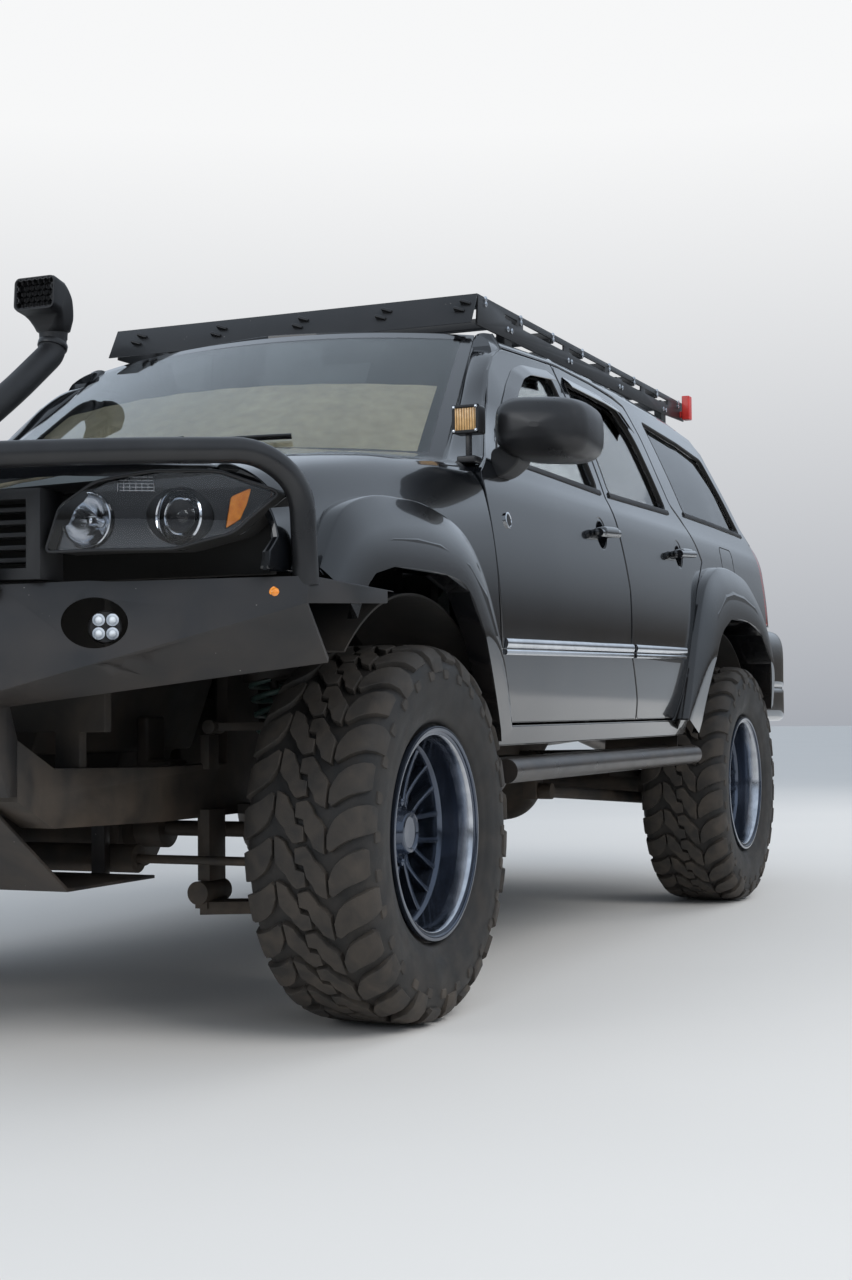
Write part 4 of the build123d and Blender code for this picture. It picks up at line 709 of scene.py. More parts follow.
def circle(u, v, radius, count):
    # corners on a circle, as an outline
    return [(u + radius * math.cos(a), v + radius * math.sin(a))
            for a in np.linspace(0, 2 * math.pi, count, False)]


vehicleSides = ("vehicle", "vehicle")


def bothSides(name, shape, look, bodies=vehicleSides, **options):
    addPiece(name + "_left", shape, look, bodies[0], **options)
    addPiece(name + "_right", otherSide(shape), look, bodies[1], **options)


handleHeight, recessRadius = 1.186, 0.047
handleStations = {"front": 1.262, "rear": 2.077}
doorBodies = {end: ("door_%s_left" % end, "door_%s_right" % end) for end in ("front", "rear")}
for end, line, window in (("front", frontDoorLine, frontWindow), ("rear", rearDoorLine, rearWindow)):
    recess = circle(handleStations[end], handleHeight, recessRadius, 8)
    shape = trimmedSheet(line, [window, recess], sideExact, sideSmooth, radius=0.022, spacing=0.022)
    bothSides("door_skin_" + end, shape, "paint", doorBodies[end])
shape = trimmedSheet(quarterLine, [quarterWindow], sideExact, sideSmooth, radius=0.012, spacing=0.024)
bothSides("side_skin", shape, "paint")


def inset(surface, depth):
    # the same surface moved inwards along x
    def moved(u, v):
        points = surface(u, v)
        points[:, 0] -= depth
        return points
    return moved


for name, window, bodies, nodesOut in (
        ("front_pane", frontWindow, doorBodies["front"], "door_glass_front_"),
        ("rear_pane", rearWindow, doorBodies["rear"], "door_glass_rear_"),
        ("quarter_pane", quarterWindow, vehicleSides, None)):
    shape = trimmedSheet(window, [], inset(sideExact, 0.0135), inset(sideSmooth, 0.0135), radius=0.028,
                         spacing=0.03, edgeRoll=0.0005, backed=0.005, lift=0.0)
    look = "privacy" if name != "front_pane" else "glass"
    for side, made, body in (("left", shape, bodies[0]), ("right", otherSide(shape), bodies[1])):
        addPiece(name + "_" + side, made, look, body,
                 replaced=(nodesOut + side,) if nodesOut else ())

# Wing: arcs through seven points of a section, carried from station to station.
# station, narrowing, height and half width of the edge at the hood
wingStations = np.array([(-0.7, 0.038, 1.158, 0.784), (-0.45, 0.018, 1.204, 0.771),
                         (-0.15, 0.009, 1.251, 0.768), (0.15, 0.005, 1.284, 0.765),
                         (0.44, 0.003, 1.306, 0.752)])


def wingSection(n, eh, ex):
    # seven (half width, height) points from the wing's foot to its edge at the hood
    top = 0.894 - n
    return np.array([(0.876 - n, 0.6), (0.908 - n, 0.78), (0.917 - n, 0.96),
                     (0.911 - n, (0.96 + eh) / 2 - 0.02),
                     (top, eh - 0.092), ((top + ex) / 2 + 0.026, eh - 0.026), (ex, eh)])


def arcPoints(line):
    # evenly turned points on the circles through each three
    points = []
    for arc, k in zip(arcsThrough([tuple(p) for p in line]), range(0, len(line) - 2, 2)):
        ends = [math.atan2(line[j][1] - arc[2], line[j][0] - arc[1]) for j in (k, k + 2)]
        turn = (ends[1] - ends[0] + math.pi) % (2 * math.pi) - math.pi
        angle = ends[0] + np.linspace(0, turn, 25)[:-1 if k + 3 < len(line) else None]
        points.append(np.column_stack([arc[1] + arc[3] * np.cos(angle), arc[2] + arc[3] * np.sin(angle)]))
    return np.vstack(points)


wingRows = np.array([arcPoints(wingSection(*row[1:])) for row in wingStations])


def wingExact(u, t):
    # t runs 0 to 1 up each section
    index, s = rowBefore(wingStations[:, 0], u)
    s = s[:, None]
    place = np.clip(t, 0, 1) * (wingRows.shape[1] - 1)
    low = np.minimum(place.astype(int), wingRows.shape[1] - 2)
    part = (place - low)[:, None]
    line = [wingRows[k, low] * (1 - part) + wingRows[k, low + 1] * part for k in (index, index + 1)]
    section = line[0] * (1 - s) + line[1] * s
    return np.column_stack([section[:, 0], u + frontAxleY, section[:, 1]])


def wingSmooth(u, t):
    # the seven section points as smooth functions of the station, joined by a smooth curve in t
    n, eh, ex = (smoothTable(wingStations[:, 0], wingStations[:, k], u) for k in (1, 2, 3))
    top = 0.894 - n
    xs = np.stack([0.876 - n, 0.908 - n, 0.917 - n, 0.911 - n, top, (top + ex) / 2 + 0.026, ex], -1)
    zs = np.stack([0.6 + 0 * n, 0.78 + 0 * n, 0.96 + 0 * n, (0.96 + eh) / 2 - 0.02, eh - 0.092, eh - 0.026,
                   eh], -1)
    place = np.clip(t, 0, 1) * 6
    k = np.minimum(place.astype(int), 5)
    f = place - k
    i = np.arange(len(u))
    grid = []
    for values in (xs, zs):
        ends = np.column_stack([2 * values[:, 0] - values[:, 1], values, 2 * values[:, 6] - values[:, 5]])
        grid.append(curveBetween(*(ends[i, k + j] for j in range(4)), f))
    return np.column_stack([grid[0], u + frontAxleY, grid[1]])


def wingParameter(points):
    # an outline in (station, height) as (station, t)
    line = roundedPath(points, 0.0001, 0.02, True)
    t = np.linspace(0, 1, 400)
    result = []
    for u, z in line:
        heights = wingExact(np.full(len(t), u), t)[:, 2]
        result.append((u, float(np.interp(z, heights, t))))
    return result


wingLine = metres([(-700, 1150), (-640, 1108), (-655, 1020), (-690, 990), (-690, 957), (-575, 957),
                   (-500, 965), (-455, 1005), (-375, 1035), (-250, 1045), (0, 1045), (150, 1000), (255, 890),
                   (360, 745), (440, 612), (501, 640), (473, 709), (435, 856), (406, 1050), (390, 1195),
                   (382, 1254), (372, 1316), (100, 1316), (-200, 1316), (-700, 1316)])
wingShape = trimmedSheet(wingParameter(wingLine), [], wingExact, wingSmooth, radius=0.003, spacing=0.02,
                         scale=(1.0, 1.35))
print("side panels made")

# Hood and roof: circles through two edges and the crown at each station.
hoodRows = np.array([(-0.96, 1.098, 1.135, 0.74), (-0.86, 1.13, 1.185, 0.765), (-0.7, 1.158, 1.222, 0.772),
                     (-0.45, 1.204, 1.264, 0.763), (-0.15, 1.251, 1.305, 0.76), (0.15, 1.284, 1.336, 0.757),
                     (0.42, 1.304, 1.352, 0.747)])
roofRises = [0.04, 0.046, 0.06, 0.068, 0.066, 0.062, 0.056, 0.05]
roofRows = np.array([(row[0], 1.748 - row[3], 1.748 - row[3] + rise, 0.652 - row[1] - row[2] - 0.001)
                     for rise, row in zip(roofRises, sideStations[1:])])


def crowned(x, edge, crown, half):
    # the height at x of the circle through both edges and the crown: crown - r + sqrt(r^2 - x^2)
    rise = crown - edge
    radius = (half ** 2 + rise ** 2) / (2 * rise)
    return crown - radius + np.sqrt(np.maximum(radius ** 2 - x ** 2, 0.0))


def crownExact(rows):
    # crowned sections at the stations before and after, mixed in a straight line
    def surface(x, u):
        index, t = rowBefore(rows[:, 0], u)
        low, high = (crowned(x, *(rows[k, c] for c in (1, 2, 3))) for k in (index, index + 1))
        return np.column_stack([x, u + frontAxleY, low * (1 - t) + high * t])
    return surface


def crownSmooth(rows):
    # crowned sections with smooth tables along the station
    def surface(x, u):
        edge, crown, half = (smoothTable(rows[:, 0], rows[:, c], u) for c in (1, 2, 3))
        return np.column_stack([x, u + frontAxleY, crowned(x, edge, crown, half)])
    return surface


def mirrored(points):
    # a half outline and its mirror image
    return points + [(-x, y) for x, y in reversed(points) if x > 0]


hoodLine = [(0.0, -0.94), (0.3, -0.918), (0.52, -0.868), (0.53, -0.862), (0.612, -0.836), (0.74, -0.762),
            (0.78, -0.712), (0.757, -0.45), (0.754, -0.15), (0.75, 0.15), (0.741, 0.372), (0.5, 0.3),
            (0.0, 0.25)]
hoodShape = trimmedSheet(mirrored(hoodLine), [], crownExact(hoodRows), crownSmooth(hoodRows), radius=0.012,
                         spacing=0.03, edgeRoll=0.006)
addPiece("hood_skin", hoodShape, "paint", "hood")
roofLine = [(0.0, 0.95), (0.59, 1.042), (0.628, 1.1), (0.644, 1.45), (0.64, 2.1), (0.626, 2.7), (0.604, 3.1),
            (0.57, 3.3), (0.0, 3.348)]
roofShape = trimmedSheet(mirrored(roofLine), [], crownExact(roofRows), crownSmooth(roofRows), radius=0.012,
                         spacing=0.04)
addPiece("roof_skin", roofShape, "paint", "vehicle")
bothSides("wing_skin", wingShape, "paint")
print("hood and roof made")


# Overfenders
# Each section runs along a ray from the wheel's axis, from the edge on the panel to the lip of the opening.

frontEdge = metres([(-560, 960), (-500, 1050), (-440, 1096), (-320, 1128), (-180, 1137), (-40, 1134),
                    (150, 1098), (275, 1020), (360, 900), (418, 760), (465, 640)])
frontArch = metres([(-560, 560), (-490, 800), (-440, 905), (-375, 965), (-280, 985), (0, 985), (125, 955),
                    (228, 850), (332, 720), (415, 600), (440, 560)])
rearEdge = metres([(-745, 648), (-690, 750), (-612, 920), (-515, 1080), (-385, 1152), (-270, 1168),
                   (-100, 1160), (80, 1130), (270, 1040), (390, 900), (414, 700)])
rearArch = metres([(-600, 560), (-555, 720), (-485, 860), (-400, 945), (-280, 990), (-40, 990), (160, 950),
                   (300, 850), (385, 700), (390, 560)])
flare = dict(rows=72, ledge=0.9285, lip=0.9595, fullness=2.6, rim=0.024, lowest=(0.55, 0.64, 0.86, 3.0),
             widest=(0.9085, 0.9285, 0.9595, 0.9595))


def polarLine(points, angles):
    # distance from the wheel's axis to a smooth line, at each angle
    line = smoothPath(points, 160)
    around = np.arctan2(line[:, 1] - tyreRadius, line[:, 0])
    around = np.where(around < -1.2, around + 2 * np.pi, around)
    order = np.argsort(around)
    return np.interp(angles, around[order], np.hypot(line[:, 0], line[:, 1] - tyreRadius)[order])


def flareShape(edge, arch, station, low, high):
    # x grows from the ledge to the lip by 1 - (1 - t)^fullness along each ray, and is capped low down
    angles = np.linspace(math.radians(low), math.radians(high), flare["rows"])
    outer, inner = polarLine(edge, angles), polarLine(arch, angles)
    t = np.concatenate([[0, 0, 0, 0.012], np.linspace(0.04, 1, 12), [1, 1]])
    reach = outer[:, None] + (inner - outer)[:, None] * t[None]
    reach[:, 0] += 0.003
    reach[:, 1] += 0.003
    reach[:, 2] += 0.0015
    y = reach * np.cos(angles)[:, None]
    z = tyreRadius + reach * np.sin(angles)[:, None]
    x = flare["ledge"] + (flare["lip"] - flare["ledge"]) * (1 - (1 - t[None]) ** flare["fullness"]) + 0 * z
    limit = np.interp(z, flare["lowest"], flare["widest"])
    x = np.minimum(x, limit)
    x[:, 0] = 0.88
    x[:, 1] -= 0.003
    x[:, 2] -= 0.0008
    x[:, -2] -= 0.002
    x[:, -1] -= flare["rim"]
    points = np.stack([x, y + station + frontAxleY, z], -1)
    faces = [gridFaces(*points.shape[:2])]
    if np.cross(points[2, 6] - points[1, 6], points[1, 7] - points[1, 6])[0] < 0:
        faces[0] = faces[0][:, ::-1]
    return points.reshape(-1, 3), faces, None


flares = joinShapes([flareShape(frontEdge, frontArch, 0.0, 25.4, 135.6),
                     flareShape(rearEdge, rearArch, rearAxleStation, 34.0, 162.5)])
bothSides("overfender", flares, "paint", sharp=50)
print("overfenders made")

# Tyres
# The casing is a profile turned about the axle. Lugs are strips across the tread: each row of a table gives the
# distance along the profile and the strip's two edges as shares of the pitch.

tyre = dict(pitches=28, around=168, height=0.015, bevel=0.0011, lean=0.0018, sunk=0.0015, tread=0.41)
casing = [(0.0, 0.403), (0.05, 0.4026), (0.09, 0.4008), (0.112, 0.3972), (0.126, 0.3895), (0.1365, 0.3765),
          (0.1422, 0.36), (0.1445, 0.34), (0.1448, 0.32), (0.1448, 0.318), (0.1434, 0.3165), (0.1425, 0.303),
          (0.1396, 0.286), (0.1345, 0.2705), (0.1318, 0.2655), (0.1322, 0.263), (0.13, 0.256),
          (0.1235, 0.247), (0.118, 0.2425), (0.112, 0.24)]
centreLug = [(-0.01, 0.08, 0.4), (0.009, 0.03, 0.45), (0.014, 0.04, 0.72), (0.027, 0.2, 0.9),
             (0.033, 0.34, 1.06), (0.045, 0.46, 1.14), (0.056, 0.62, 1.18)]
longLug = [(0.062, 0.76, 1.08), (0.069, 0.6, 1.14), (0.078, 0.42, 1.08), (0.09, 0.3, 0.98), (0.104, 0.2, 0.9),
           (0.12, 0.12, 0.82), (0.138, 0.06, 0.76), (0.154, 0.06, 0.72), (0.168, 0.1, 0.68)]
shortLug = [(0.062, 0.76, 1.08), (0.069, 0.6, 1.14), (0.078, 0.42, 1.08), (0.09, 0.3, 0.98),
            (0.104, 0.2, 0.9), (0.12, 0.12, 0.82), (0.134, 0.08, 0.76), (0.143, 0.12, 0.7)]
biter = [(0.164, 0.66, 0.96), (0.172, 0.64, 0.98), (0.184, 0.68, 0.94)]


def profileAt(distance):
    # place and outward direction at a distance along the casing from the middle of the tread
    line = smoothPath(casing, 400)
    run = np.concatenate([[0], np.cumsum(np.linalg.norm(np.diff(line, axis=0), axis=1))])
    slope = unit(np.gradient(line, axis=0))
    place = [np.interp(np.abs(distance), run, line[:, k]) for k in (0, 1)]
    tangent = [np.interp(np.abs(distance), run, slope[:, k]) for k in (0, 1)]
    sign = np.sign(distance) + (distance == 0)
    return place[0] * sign, place[1], -tangent[1] * sign, tangent[0]


def lugStrip(table, firstPitch, step, flip, height, fade=0.0):
    # every copy of one lug round the tyre; flip carries the pattern to the other half, turned half way round
    table = np.array(table)
    w, left, right = table.T
    rows = np.concatenate([[0, 0, 0], np.arange(1, len(w) - 1), [len(w) - 1] * 3])
    shift = np.zeros(len(rows))
    shift[0], shift[1], shift[-2], shift[-1] = -tyre["lean"], 0.0, 0.0, tyre["lean"]
    shift[2], shift[-3] = tyre["bevel"], -tyre["bevel"]
    level = np.ones(len(rows))
    level[[0, -1]] = 0.0
    level[[1, -2]] = 1 - tyre["bevel"] / height
    pitchLength = 2 * np.pi * tyre["tread"] / tyre["pitches"]
    lean, bevel = tyre["lean"] / pitchLength, tyre["bevel"] / pitchLength
    a = np.stack([left[rows] - lean, left[rows], left[rows] + bevel, (left[rows] + right[rows]) / 2,
                  right[rows] - bevel, right[rows], right[rows] + lean], -1)
    side = np.array([0.0, 1 - tyre["bevel"] / height, 1, 1, 1, 1 - tyre["bevel"] / height, 0.0])
    up = np.minimum(level[:, None], side[None]) * height
    distance = w[rows] + shift
    up = up * (1 - fade * smoothStep(0.12, 0.165, distance))[:, None]
    copies = np.arange(firstPitch, tyre["pitches"], step)
    place = (a[None] + copies[:, None, None]) * 2 * np.pi / tyre["pitches"]
    if flip:
        place, distance = -place, -distance
    x, r, nx, nr = profileAt(distance)
    sunk = up - tyre["sunk"]
    radius = (r[:, None] + nr[:, None] * sunk)[None] + 0 * place
    points = np.stack([(x[:, None] + nx[:, None] * sunk)[None] + 0 * place, radius * np.sin(place),
                       -radius * np.cos(place)], -1)
    faces = gridFaces(len(rows), 7)
    faces = np.concatenate([faces + k * len(rows) * 7 for k in range(len(copies))])
    return points.reshape(-1, 3), [faces], None


def tyreShapes():
    # the casing, then the rows of lugs on both halves
    ring = np.array([(-x, r) for x, r in smoothPath(casing, 34)[::-1]] + list(smoothPath(casing, 34)[1:]))
    ring = np.vstack([ring, [(0.108, 0.226), (-0.108, 0.226)]])
    shapes = [turnedShape(ring, tyre["around"], closed=True)]
    for flip in (False, True):
        shapes.append(lugStrip(centreLug, 0, 1, flip, tyre["height"]))
        shapes.append(lugStrip(longLug, 0, 2, flip, tyre["height"], 0.62))
        shapes.append(lugStrip(shortLug, 1, 2, flip, tyre["height"], 0.5))
        shapes.append(lugStrip(biter, 0, 1, flip, 0.0045))
    return shapes


# Rims
rimBarrel = [(-0.1265, 0.224), (-0.124, 0.2345), (-0.12, 0.235), (-0.113, 0.2215), (-0.095, 0.215),
             (-0.062, 0.2045), (0.034, 0.2045), (0.06, 0.2145), (0.112, 0.2215), (0.1185, 0.2355),
             (0.1255, 0.2368), (0.13, 0.2352), (0.1308, 0.231), (0.13, 0.2262), (0.1285, 0.224),
             (0.1262, 0.2236), (0.1245, 0.2175), (0.115, 0.2135), (0.07, 0.209), (0.05, 0.206), (0.046, 0.2),
             (0.04, 0.1975), (0.01, 0.197), (-0.06, 0.1965), (-0.1, 0.21)]
rimHub = [(0.01, 0.03), (0.01, 0.084), (0.018, 0.086), (0.026, 0.082), (0.031, 0.07), (0.036, 0.058),
          (0.044, 0.05), (0.06, 0.047), (0.0635, 0.044), (0.0645, 0.038), (0.06, 0.034), (0.059, 0.0)]
brakeDisc = [(-0.057, 0.06), (-0.057, 0.16), (-0.055, 0.162), (-0.043, 0.162), (-0.04, 0.16), (-0.04, 0.075),
             (-0.0075, 0.07), (-0.0075, 0.0)]
spokes = dict(count=10, split=0.0345, nuts=6)
# radius, offset of the prong's middle, width, front face, depth
spokeTable = [(0.056, 0.005, 0.0185, 0.034, 0.026), (0.08, 0.0062, 0.0165, 0.03, 0.026),
              (0.105, 0.0085, 0.0135, 0.0275, 0.024), (0.13, 0.0145, 0.012, 0.0285, 0.022),
              (0.155, 0.021, 0.0118, 0.032, 0.022), (0.18, 0.0275, 0.0124, 0.0375, 0.024),
              (0.196, 0.0318, 0.014, 0.043, 0.028), (0.2065, 0.0345, 0.017, 0.048, 0.034)]


def spokeShapes():
    # each prong is a row of eight-cornered sections that run outwards; two prongs stand in each direction
    table = np.array(spokeTable)
    at = np.linspace(table[0, 0], table[-1, 0], 16)
    middle, width, front, depth = (smoothTable(table[:, 0], table[:, k], at) for k in (1, 2, 3, 4))
    corner = np.array([(-1, -1), (-1, -0.15), (-0.86, 0.0), (-0.62, 0.0), (0.62, 0.0), (0.86, 0.0),
                       (1, -0.15), (1, -1)])
    shapes = []
    for sign in (-1, 1):
        across = (sign * middle)[:, None] + corner[None, :, 0] * width[:, None] / 2
        out = front[:, None] + np.where(corner[None, :, 1] == -1, -depth[:, None], corner[None, :, 1] * 0.012)
        out[:, [2, 5]] -= 0.0008
        for index in range(spokes["count"]):
            angle = 2 * np.pi * index / spokes["count"]
            y = np.cos(angle) * across - np.sin(angle) * at[:, None]
            z = np.sin(angle) * across + np.cos(angle) * at[:, None]
            shapes.append((np.stack([out, y, z], -1).reshape(-1, 3), [gridFaces(*out.shape, False, True)], None))
    return joinShapes(shapes)


def nutShapes():
    # six-sided nuts on a circle, each half way between two directions
    shapes = []
    for index in range(spokes["nuts"]):
        angle = 2 * np.pi * (index + 0.5) / spokes["nuts"]
        nut = [(0.024, 0.0105), (0.038, 0.0105), (0.043, 0.0085), (0.045, 0.0045), (0.0455, 0.0)]
        points, faces, normals = turnedShape(nut, 6)
        shapes.append((points + [0, 0.0665 * math.cos(angle), 0.0665 * math.sin(angle)], faces, normals))
    return joinShapes(shapes)


def placed(shape, side, station):
    # a wheel's shape, made about x, carried to one corner of the vehicle
    points, faces, normals = shape if side > 0 else otherSide(shape)
    return points + np.array([side * tyreCentre, station + frontAxleY, tyreRadius]), faces, normals


def signedVolume(points, faces):
    # the sum of a . (b x c) / 6 over the triangles of each face
    total = 0.0
    for block in faces:
        block = np.asarray(block)
        for k in range(1, block.shape[1] - 1):
            a, b, c = points[block[:, 0]], points[block[:, k]], points[block[:, k + 1]]
            total += np.einsum("ij,ij->", a, np.cross(b, c)) / 6
    return total


def outward(shape):
    # a closed or nearly closed shape with its faces looking out
    points, faces = shape[:2]
    if signedVolume(points - points.mean(0), faces) < 0:
        faces = [np.asarray(block)[:, ::-1] for block in faces]
    return points, faces, None


def addSolids(name, shapes, look, **options):
    # closed shapes as one piece on the body of the vehicle
    addPiece(name, joinShapes([outward(shape) for shape in shapes]), look, "vehicle", **options)


tyreParts = tyreShapes()
tyreMade = {"tyre_casing": joinShapes([outward(tyreParts[0])]), "tyre_tread": joinShapes(tyreParts[1:])}
lipRing = turnedShape([(0.1236, 0.219), (0.1236, 0.2164), (0.1228, 0.2156), (0.115, 0.2126), (0.09, 0.21),
                       (0.0894, 0.2106), (0.0894, 0.213)], 120, closed=True)
rimMade = {"rim": joinShapes([outward(turnedShape(rimBarrel, 120, closed=True)), outward(spokeShapes())]),
           "rim_hub": joinShapes([outward(turnedShape(rimHub, 60)), outward(nutShapes())]),
           "rim_lip": outward(lipRing), "brake_disc": outward(turnedShape(brakeDisc, 80))}
for end, station in (("front", 0.0), ("rear", rearAxleStation)):
    for side, sign in (("left", 1), ("right", -1)):
        body = "wheel_%s_%s" % (end, side)
        # the lugs take the lighter tread look: partly dust, partly painted sunlight on the tread blocks
        for part, look in (("tyre_casing", "tyre"), ("tyre_tread", "tread")):
            made = placed(tyreMade[part], sign, station)
            addPiece("%s_%s_%s" % (part, end, side), made, look, body, sharp=32,
                     replaced=("tyre_%s_%s" % (end, side),) if part == "tyre_casing" else ())
        for part, look in (("rim", "rim"), ("rim_hub", "rim"), ("rim_lip", "lip"), ("brake_disc", "bright")):
            made = placed(rimMade[part], sign, station)
            addPiece("%s_shell_%s_%s" % (part, end, side), made, look, body, sharp=35,
                     replaced=("rim_%s_%s" % (end, side),) if part == "rim" else ())
print("wheels made")


# Front: lamps, grille, bumper and hoops

lampFace = [(0.505, -0.868), (0.612, -0.842), (0.745, -0.764), (0.84, -0.692), (0.892, -0.632)]
lampLine = [(0.508, 0.99), (0.536, 1.075), (0.604, 1.12), (0.7, 1.14), (0.8, 1.142), (0.886, 1.106),
            (0.822, 1.026), (0.73, 0.994)]
lampTable = np.array(lampFace)


lampMiddle, lampHalfHeight = 1.066, 0.075


def lampSurface(depth, bulge=0.0):
    # (across, height) on the lamp's face, moved back by a depth and bulged forward in the middle of its height
    def surface(x, z):
        y = smoothTable(lampTable[:, 0], lampTable[:, 1], x) + depth
        y = y - bulge * (1 - np.clip((z - lampMiddle) / lampHalfHeight, -1, 1) ** 2)
        return np.column_stack([x, y + frontAxleY, z])
    return surface


coverShape = trimmedSheet(lampLine, [], lampSurface(-0.003, 0.004), lampSurface(-0.003, 0.012), radius=0.014,
                          spacing=0.012, edgeRoll=0.003, flange=0.006, lift=0.0)
bothSides("lamp_lens", coverShape, "lens", replaced=("lamp_covers",))
# the rim of black trim round the lens
rimPath = roundedPath([(x, z) for x, z in lampLine], 0.014, 0.01, True)
rimPath3 = lampSurface(-0.0035)(rimPath[:, 0], rimPath[:, 1])
rimShape = sweepProfile(rimPath3, ring(0.0032, 8), up=(0, -1, 0), closed=True)
bothSides("lamp_trim", rimShape, "plastic", sharp=60)

# lamp units behind the lens: turned rings and bowls that face forwards
bowl = dict(highBeam=(0.572, 1.052, 0.047), projector=(0.724, 1.058, 0.052))


def faceAt(x, depth):
    # the lamp face's place along the vehicle at x
    return float(np.interp(x, lampTable[:, 0], lampTable[:, 1])) + depth + frontAxleY


def facingForward(profile, count, x, z, depth):
    # (forward, radius) points turned about a line along the vehicle
    points, faces, normals = turnedShape([(-f, r) for f, r in profile], count, axis=1)
    return points + [x, faceAt(x, depth), z], faces, normals


x, z, r = bowl["highBeam"]
bowlAround, sectorSteps = 48, 4
angle = np.arange(bowlAround) * 2 * np.pi / bowlAround
rows = []
for share, back in ((1.0, 0.0), (0.97, 0.01), (0.8, 0.024), (0.55, 0.036), (0.3, 0.044), (0.18, 0.046)):
    # the bowl's sides are facets: twelve flat sectors, one step in or out each
    inOrOut = np.where((np.arange(bowlAround) // sectorSteps) % 2 == 0, 1, -1)
    facet = 1 + 0.018 * inOrOut * (1 - share) * 3
    rows.append(np.column_stack([r * share * facet * np.cos(angle), np.full(bowlAround, back),
                                 r * share * facet * np.sin(angle)]))
highBeam = np.stack(rows) + np.array([x, faceAt(x, 0.032), z])
highBeam = (highBeam.reshape(-1, 3), [gridFaces(len(rows), bowlAround, False, True)], None)
bulb = facingForward([(-0.046, 0.01), (-0.03, 0.0095), (-0.014, 0.0085), (-0.009, 0.006), (-0.0075, 0.0)], 20,
                     x, z, 0.032)
x, z, r = bowl["projector"]
projector = facingForward([(0.004, r), (0.0065, r - 0.003), (0.004, r - 0.006), (-0.006, r - 0.01),
                           (-0.01, r - 0.012), (-0.004, 0.036), (0.0, 0.034), (-0.002, 0.031)],
                          60, x, z, 0.03)
ball = facingForward([(-0.004, 0.031), (0.006, 0.028), (0.014, 0.021), (0.019, 0.012), (0.0205, 0.0)],
                     40, x, z, 0.03)
bezel = facingForward([(0.002, 0.0485), (0.005, 0.05), (0.004, 0.0525), (-0.004, 0.0525)], 60,
                      bowl["highBeam"][0], bowl["highBeam"][1], 0.03)
for name, shape, look in (("high_beam_bowl", highBeam, "bright"), ("high_beam_bulb", bulb, "chrome"),
                          ("projector_shroud", projector, "chrome"), ("projector_lens", ball, "lens"),
                          ("high_beam_bezel", bezel, "bright")):
    bothSides(name, outward(shape) if name != "high_beam_bowl" else shape, look, sharp=40)

# the black inner wall, with a fine grid of ribs between the units
wall = trimmedSheet(lampLine, [], lampSurface(0.08), lampSurface(0.08), radius=0.012, spacing=0.02,
                    edgeRoll=0.0005, flange=0.002, lift=0.0)
bothSides("lamp_wall", wall, "lamp_black")
ribs = []
for k in range(7):
    x = 0.628 + 0.0095 * k
    ribs.append(roundedBox((x, faceAt(x, 0.028), 1.116), (0.0014, 0.006, 0.03), 0.0005, steps=1))
for k in range(5):
    ribs.append(roundedBox((0.6565, faceAt(0.6565, 0.028), 1.104 + 0.0062 * k), (0.062, 0.005, 0.0012),
                           0.0005, steps=1, axes=[[0.86, 0.51, 0], [-0.51, 0.86, 0], [0, 0, 1]]))
bothSides("lamp_ribs", joinShapes(ribs), "bright", sharp=40)
# amber reflector and side marker at the outer tip
amberLine = [(0.804, 1.034), (0.812, 1.094), (0.842, 1.112), (0.836, 1.082), (0.826, 1.052)]
amber = trimmedSheet(amberLine, [], lampSurface(0.01), lampSurface(0.01), radius=0.006, spacing=0.006,
                     edgeRoll=0.002, flange=0.006, lift=0.0)
bothSides("side_reflector", amber, "amber")
print("lamps made")

# hoops: round tubes on rounded paths
hoopPoints = [(0.92, -0.606, 0.93), (0.918, -0.62, 1.12), (0.866, -0.69, 1.182), (0.7, -0.85, 1.172),
              (0.48, -1.0, 1.16)]
path = rowPlace(hoopPoints + [(-x, y, z) for x, y, z in reversed(hoopPoints)])
path = roundedPath(path, 0.075, 0.03)
hoop = sweepProfile(path, ring(0.025, 24), up=(0, 0.35, 1))
posts = []
for side in (-1, 1):
    post = roundedPath(rowPlace([(side * 0.41, -0.905, 0.915), (side * 0.35, -1.0, 1.16)]), 0.01, 0.03)
    posts.append(sweepProfile(post, ring(0.0222, 20), up=(1, 0, 0)))
addSolids("hoop_tubes", [hoop] + posts, "tube", sharp=50, replaced=("bumper_hoops",))
print("hoops made")


# Plates, castings and trim that keep the CAD form

dressing = dict(weld=2e-5, shortest=0.0015, flat=math.radians(1.0), bevel=math.radians(28),
                hard=math.radians(30))


def dressNode(node, look, width, steps):
    # a copy of a CAD node: welded, flat areas joined, and every edge sharper than the angle rounded
    made = bmesh.new()
    made.from_mesh(nodes[node].data)
    bmesh.ops.remove_doubles(made, verts=made.verts, dist=dressing["weld"])
    bmesh.ops.dissolve_limit(made, angle_limit=dressing["flat"], verts=made.verts, edges=made.edges)
    if width:
        edges = [e for e in made.edges if len(e.link_faces) == 2 and e.calc_face_angle(0.0) > dressing["bevel"]
                 and e.calc_length() > dressing["shortest"]]
        bmesh.ops.bevel(made, geom=edges, offset=width, offset_type="OFFSET", segments=steps, profile=0.5,
                        affect="EDGES", clamp_overlap=True)
    mesh = bpy.data.meshes.new(node + "_dressed")
    made.to_mesh(mesh)
    made.free()
    mesh.polygons.foreach_set("use_smooth", np.ones(len(mesh.polygons), bool))
    mesh.set_sharp_from_angle(angle=dressing["hard"])
    mesh.materials.clear()
    mesh.materials.append(looks[look])
    piece = bpy.data.objects.new(node + "_dressed", mesh)
    bpy.context.scene.collection.objects.link(piece)
    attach(piece, nodeBody[node])
    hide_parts(node)


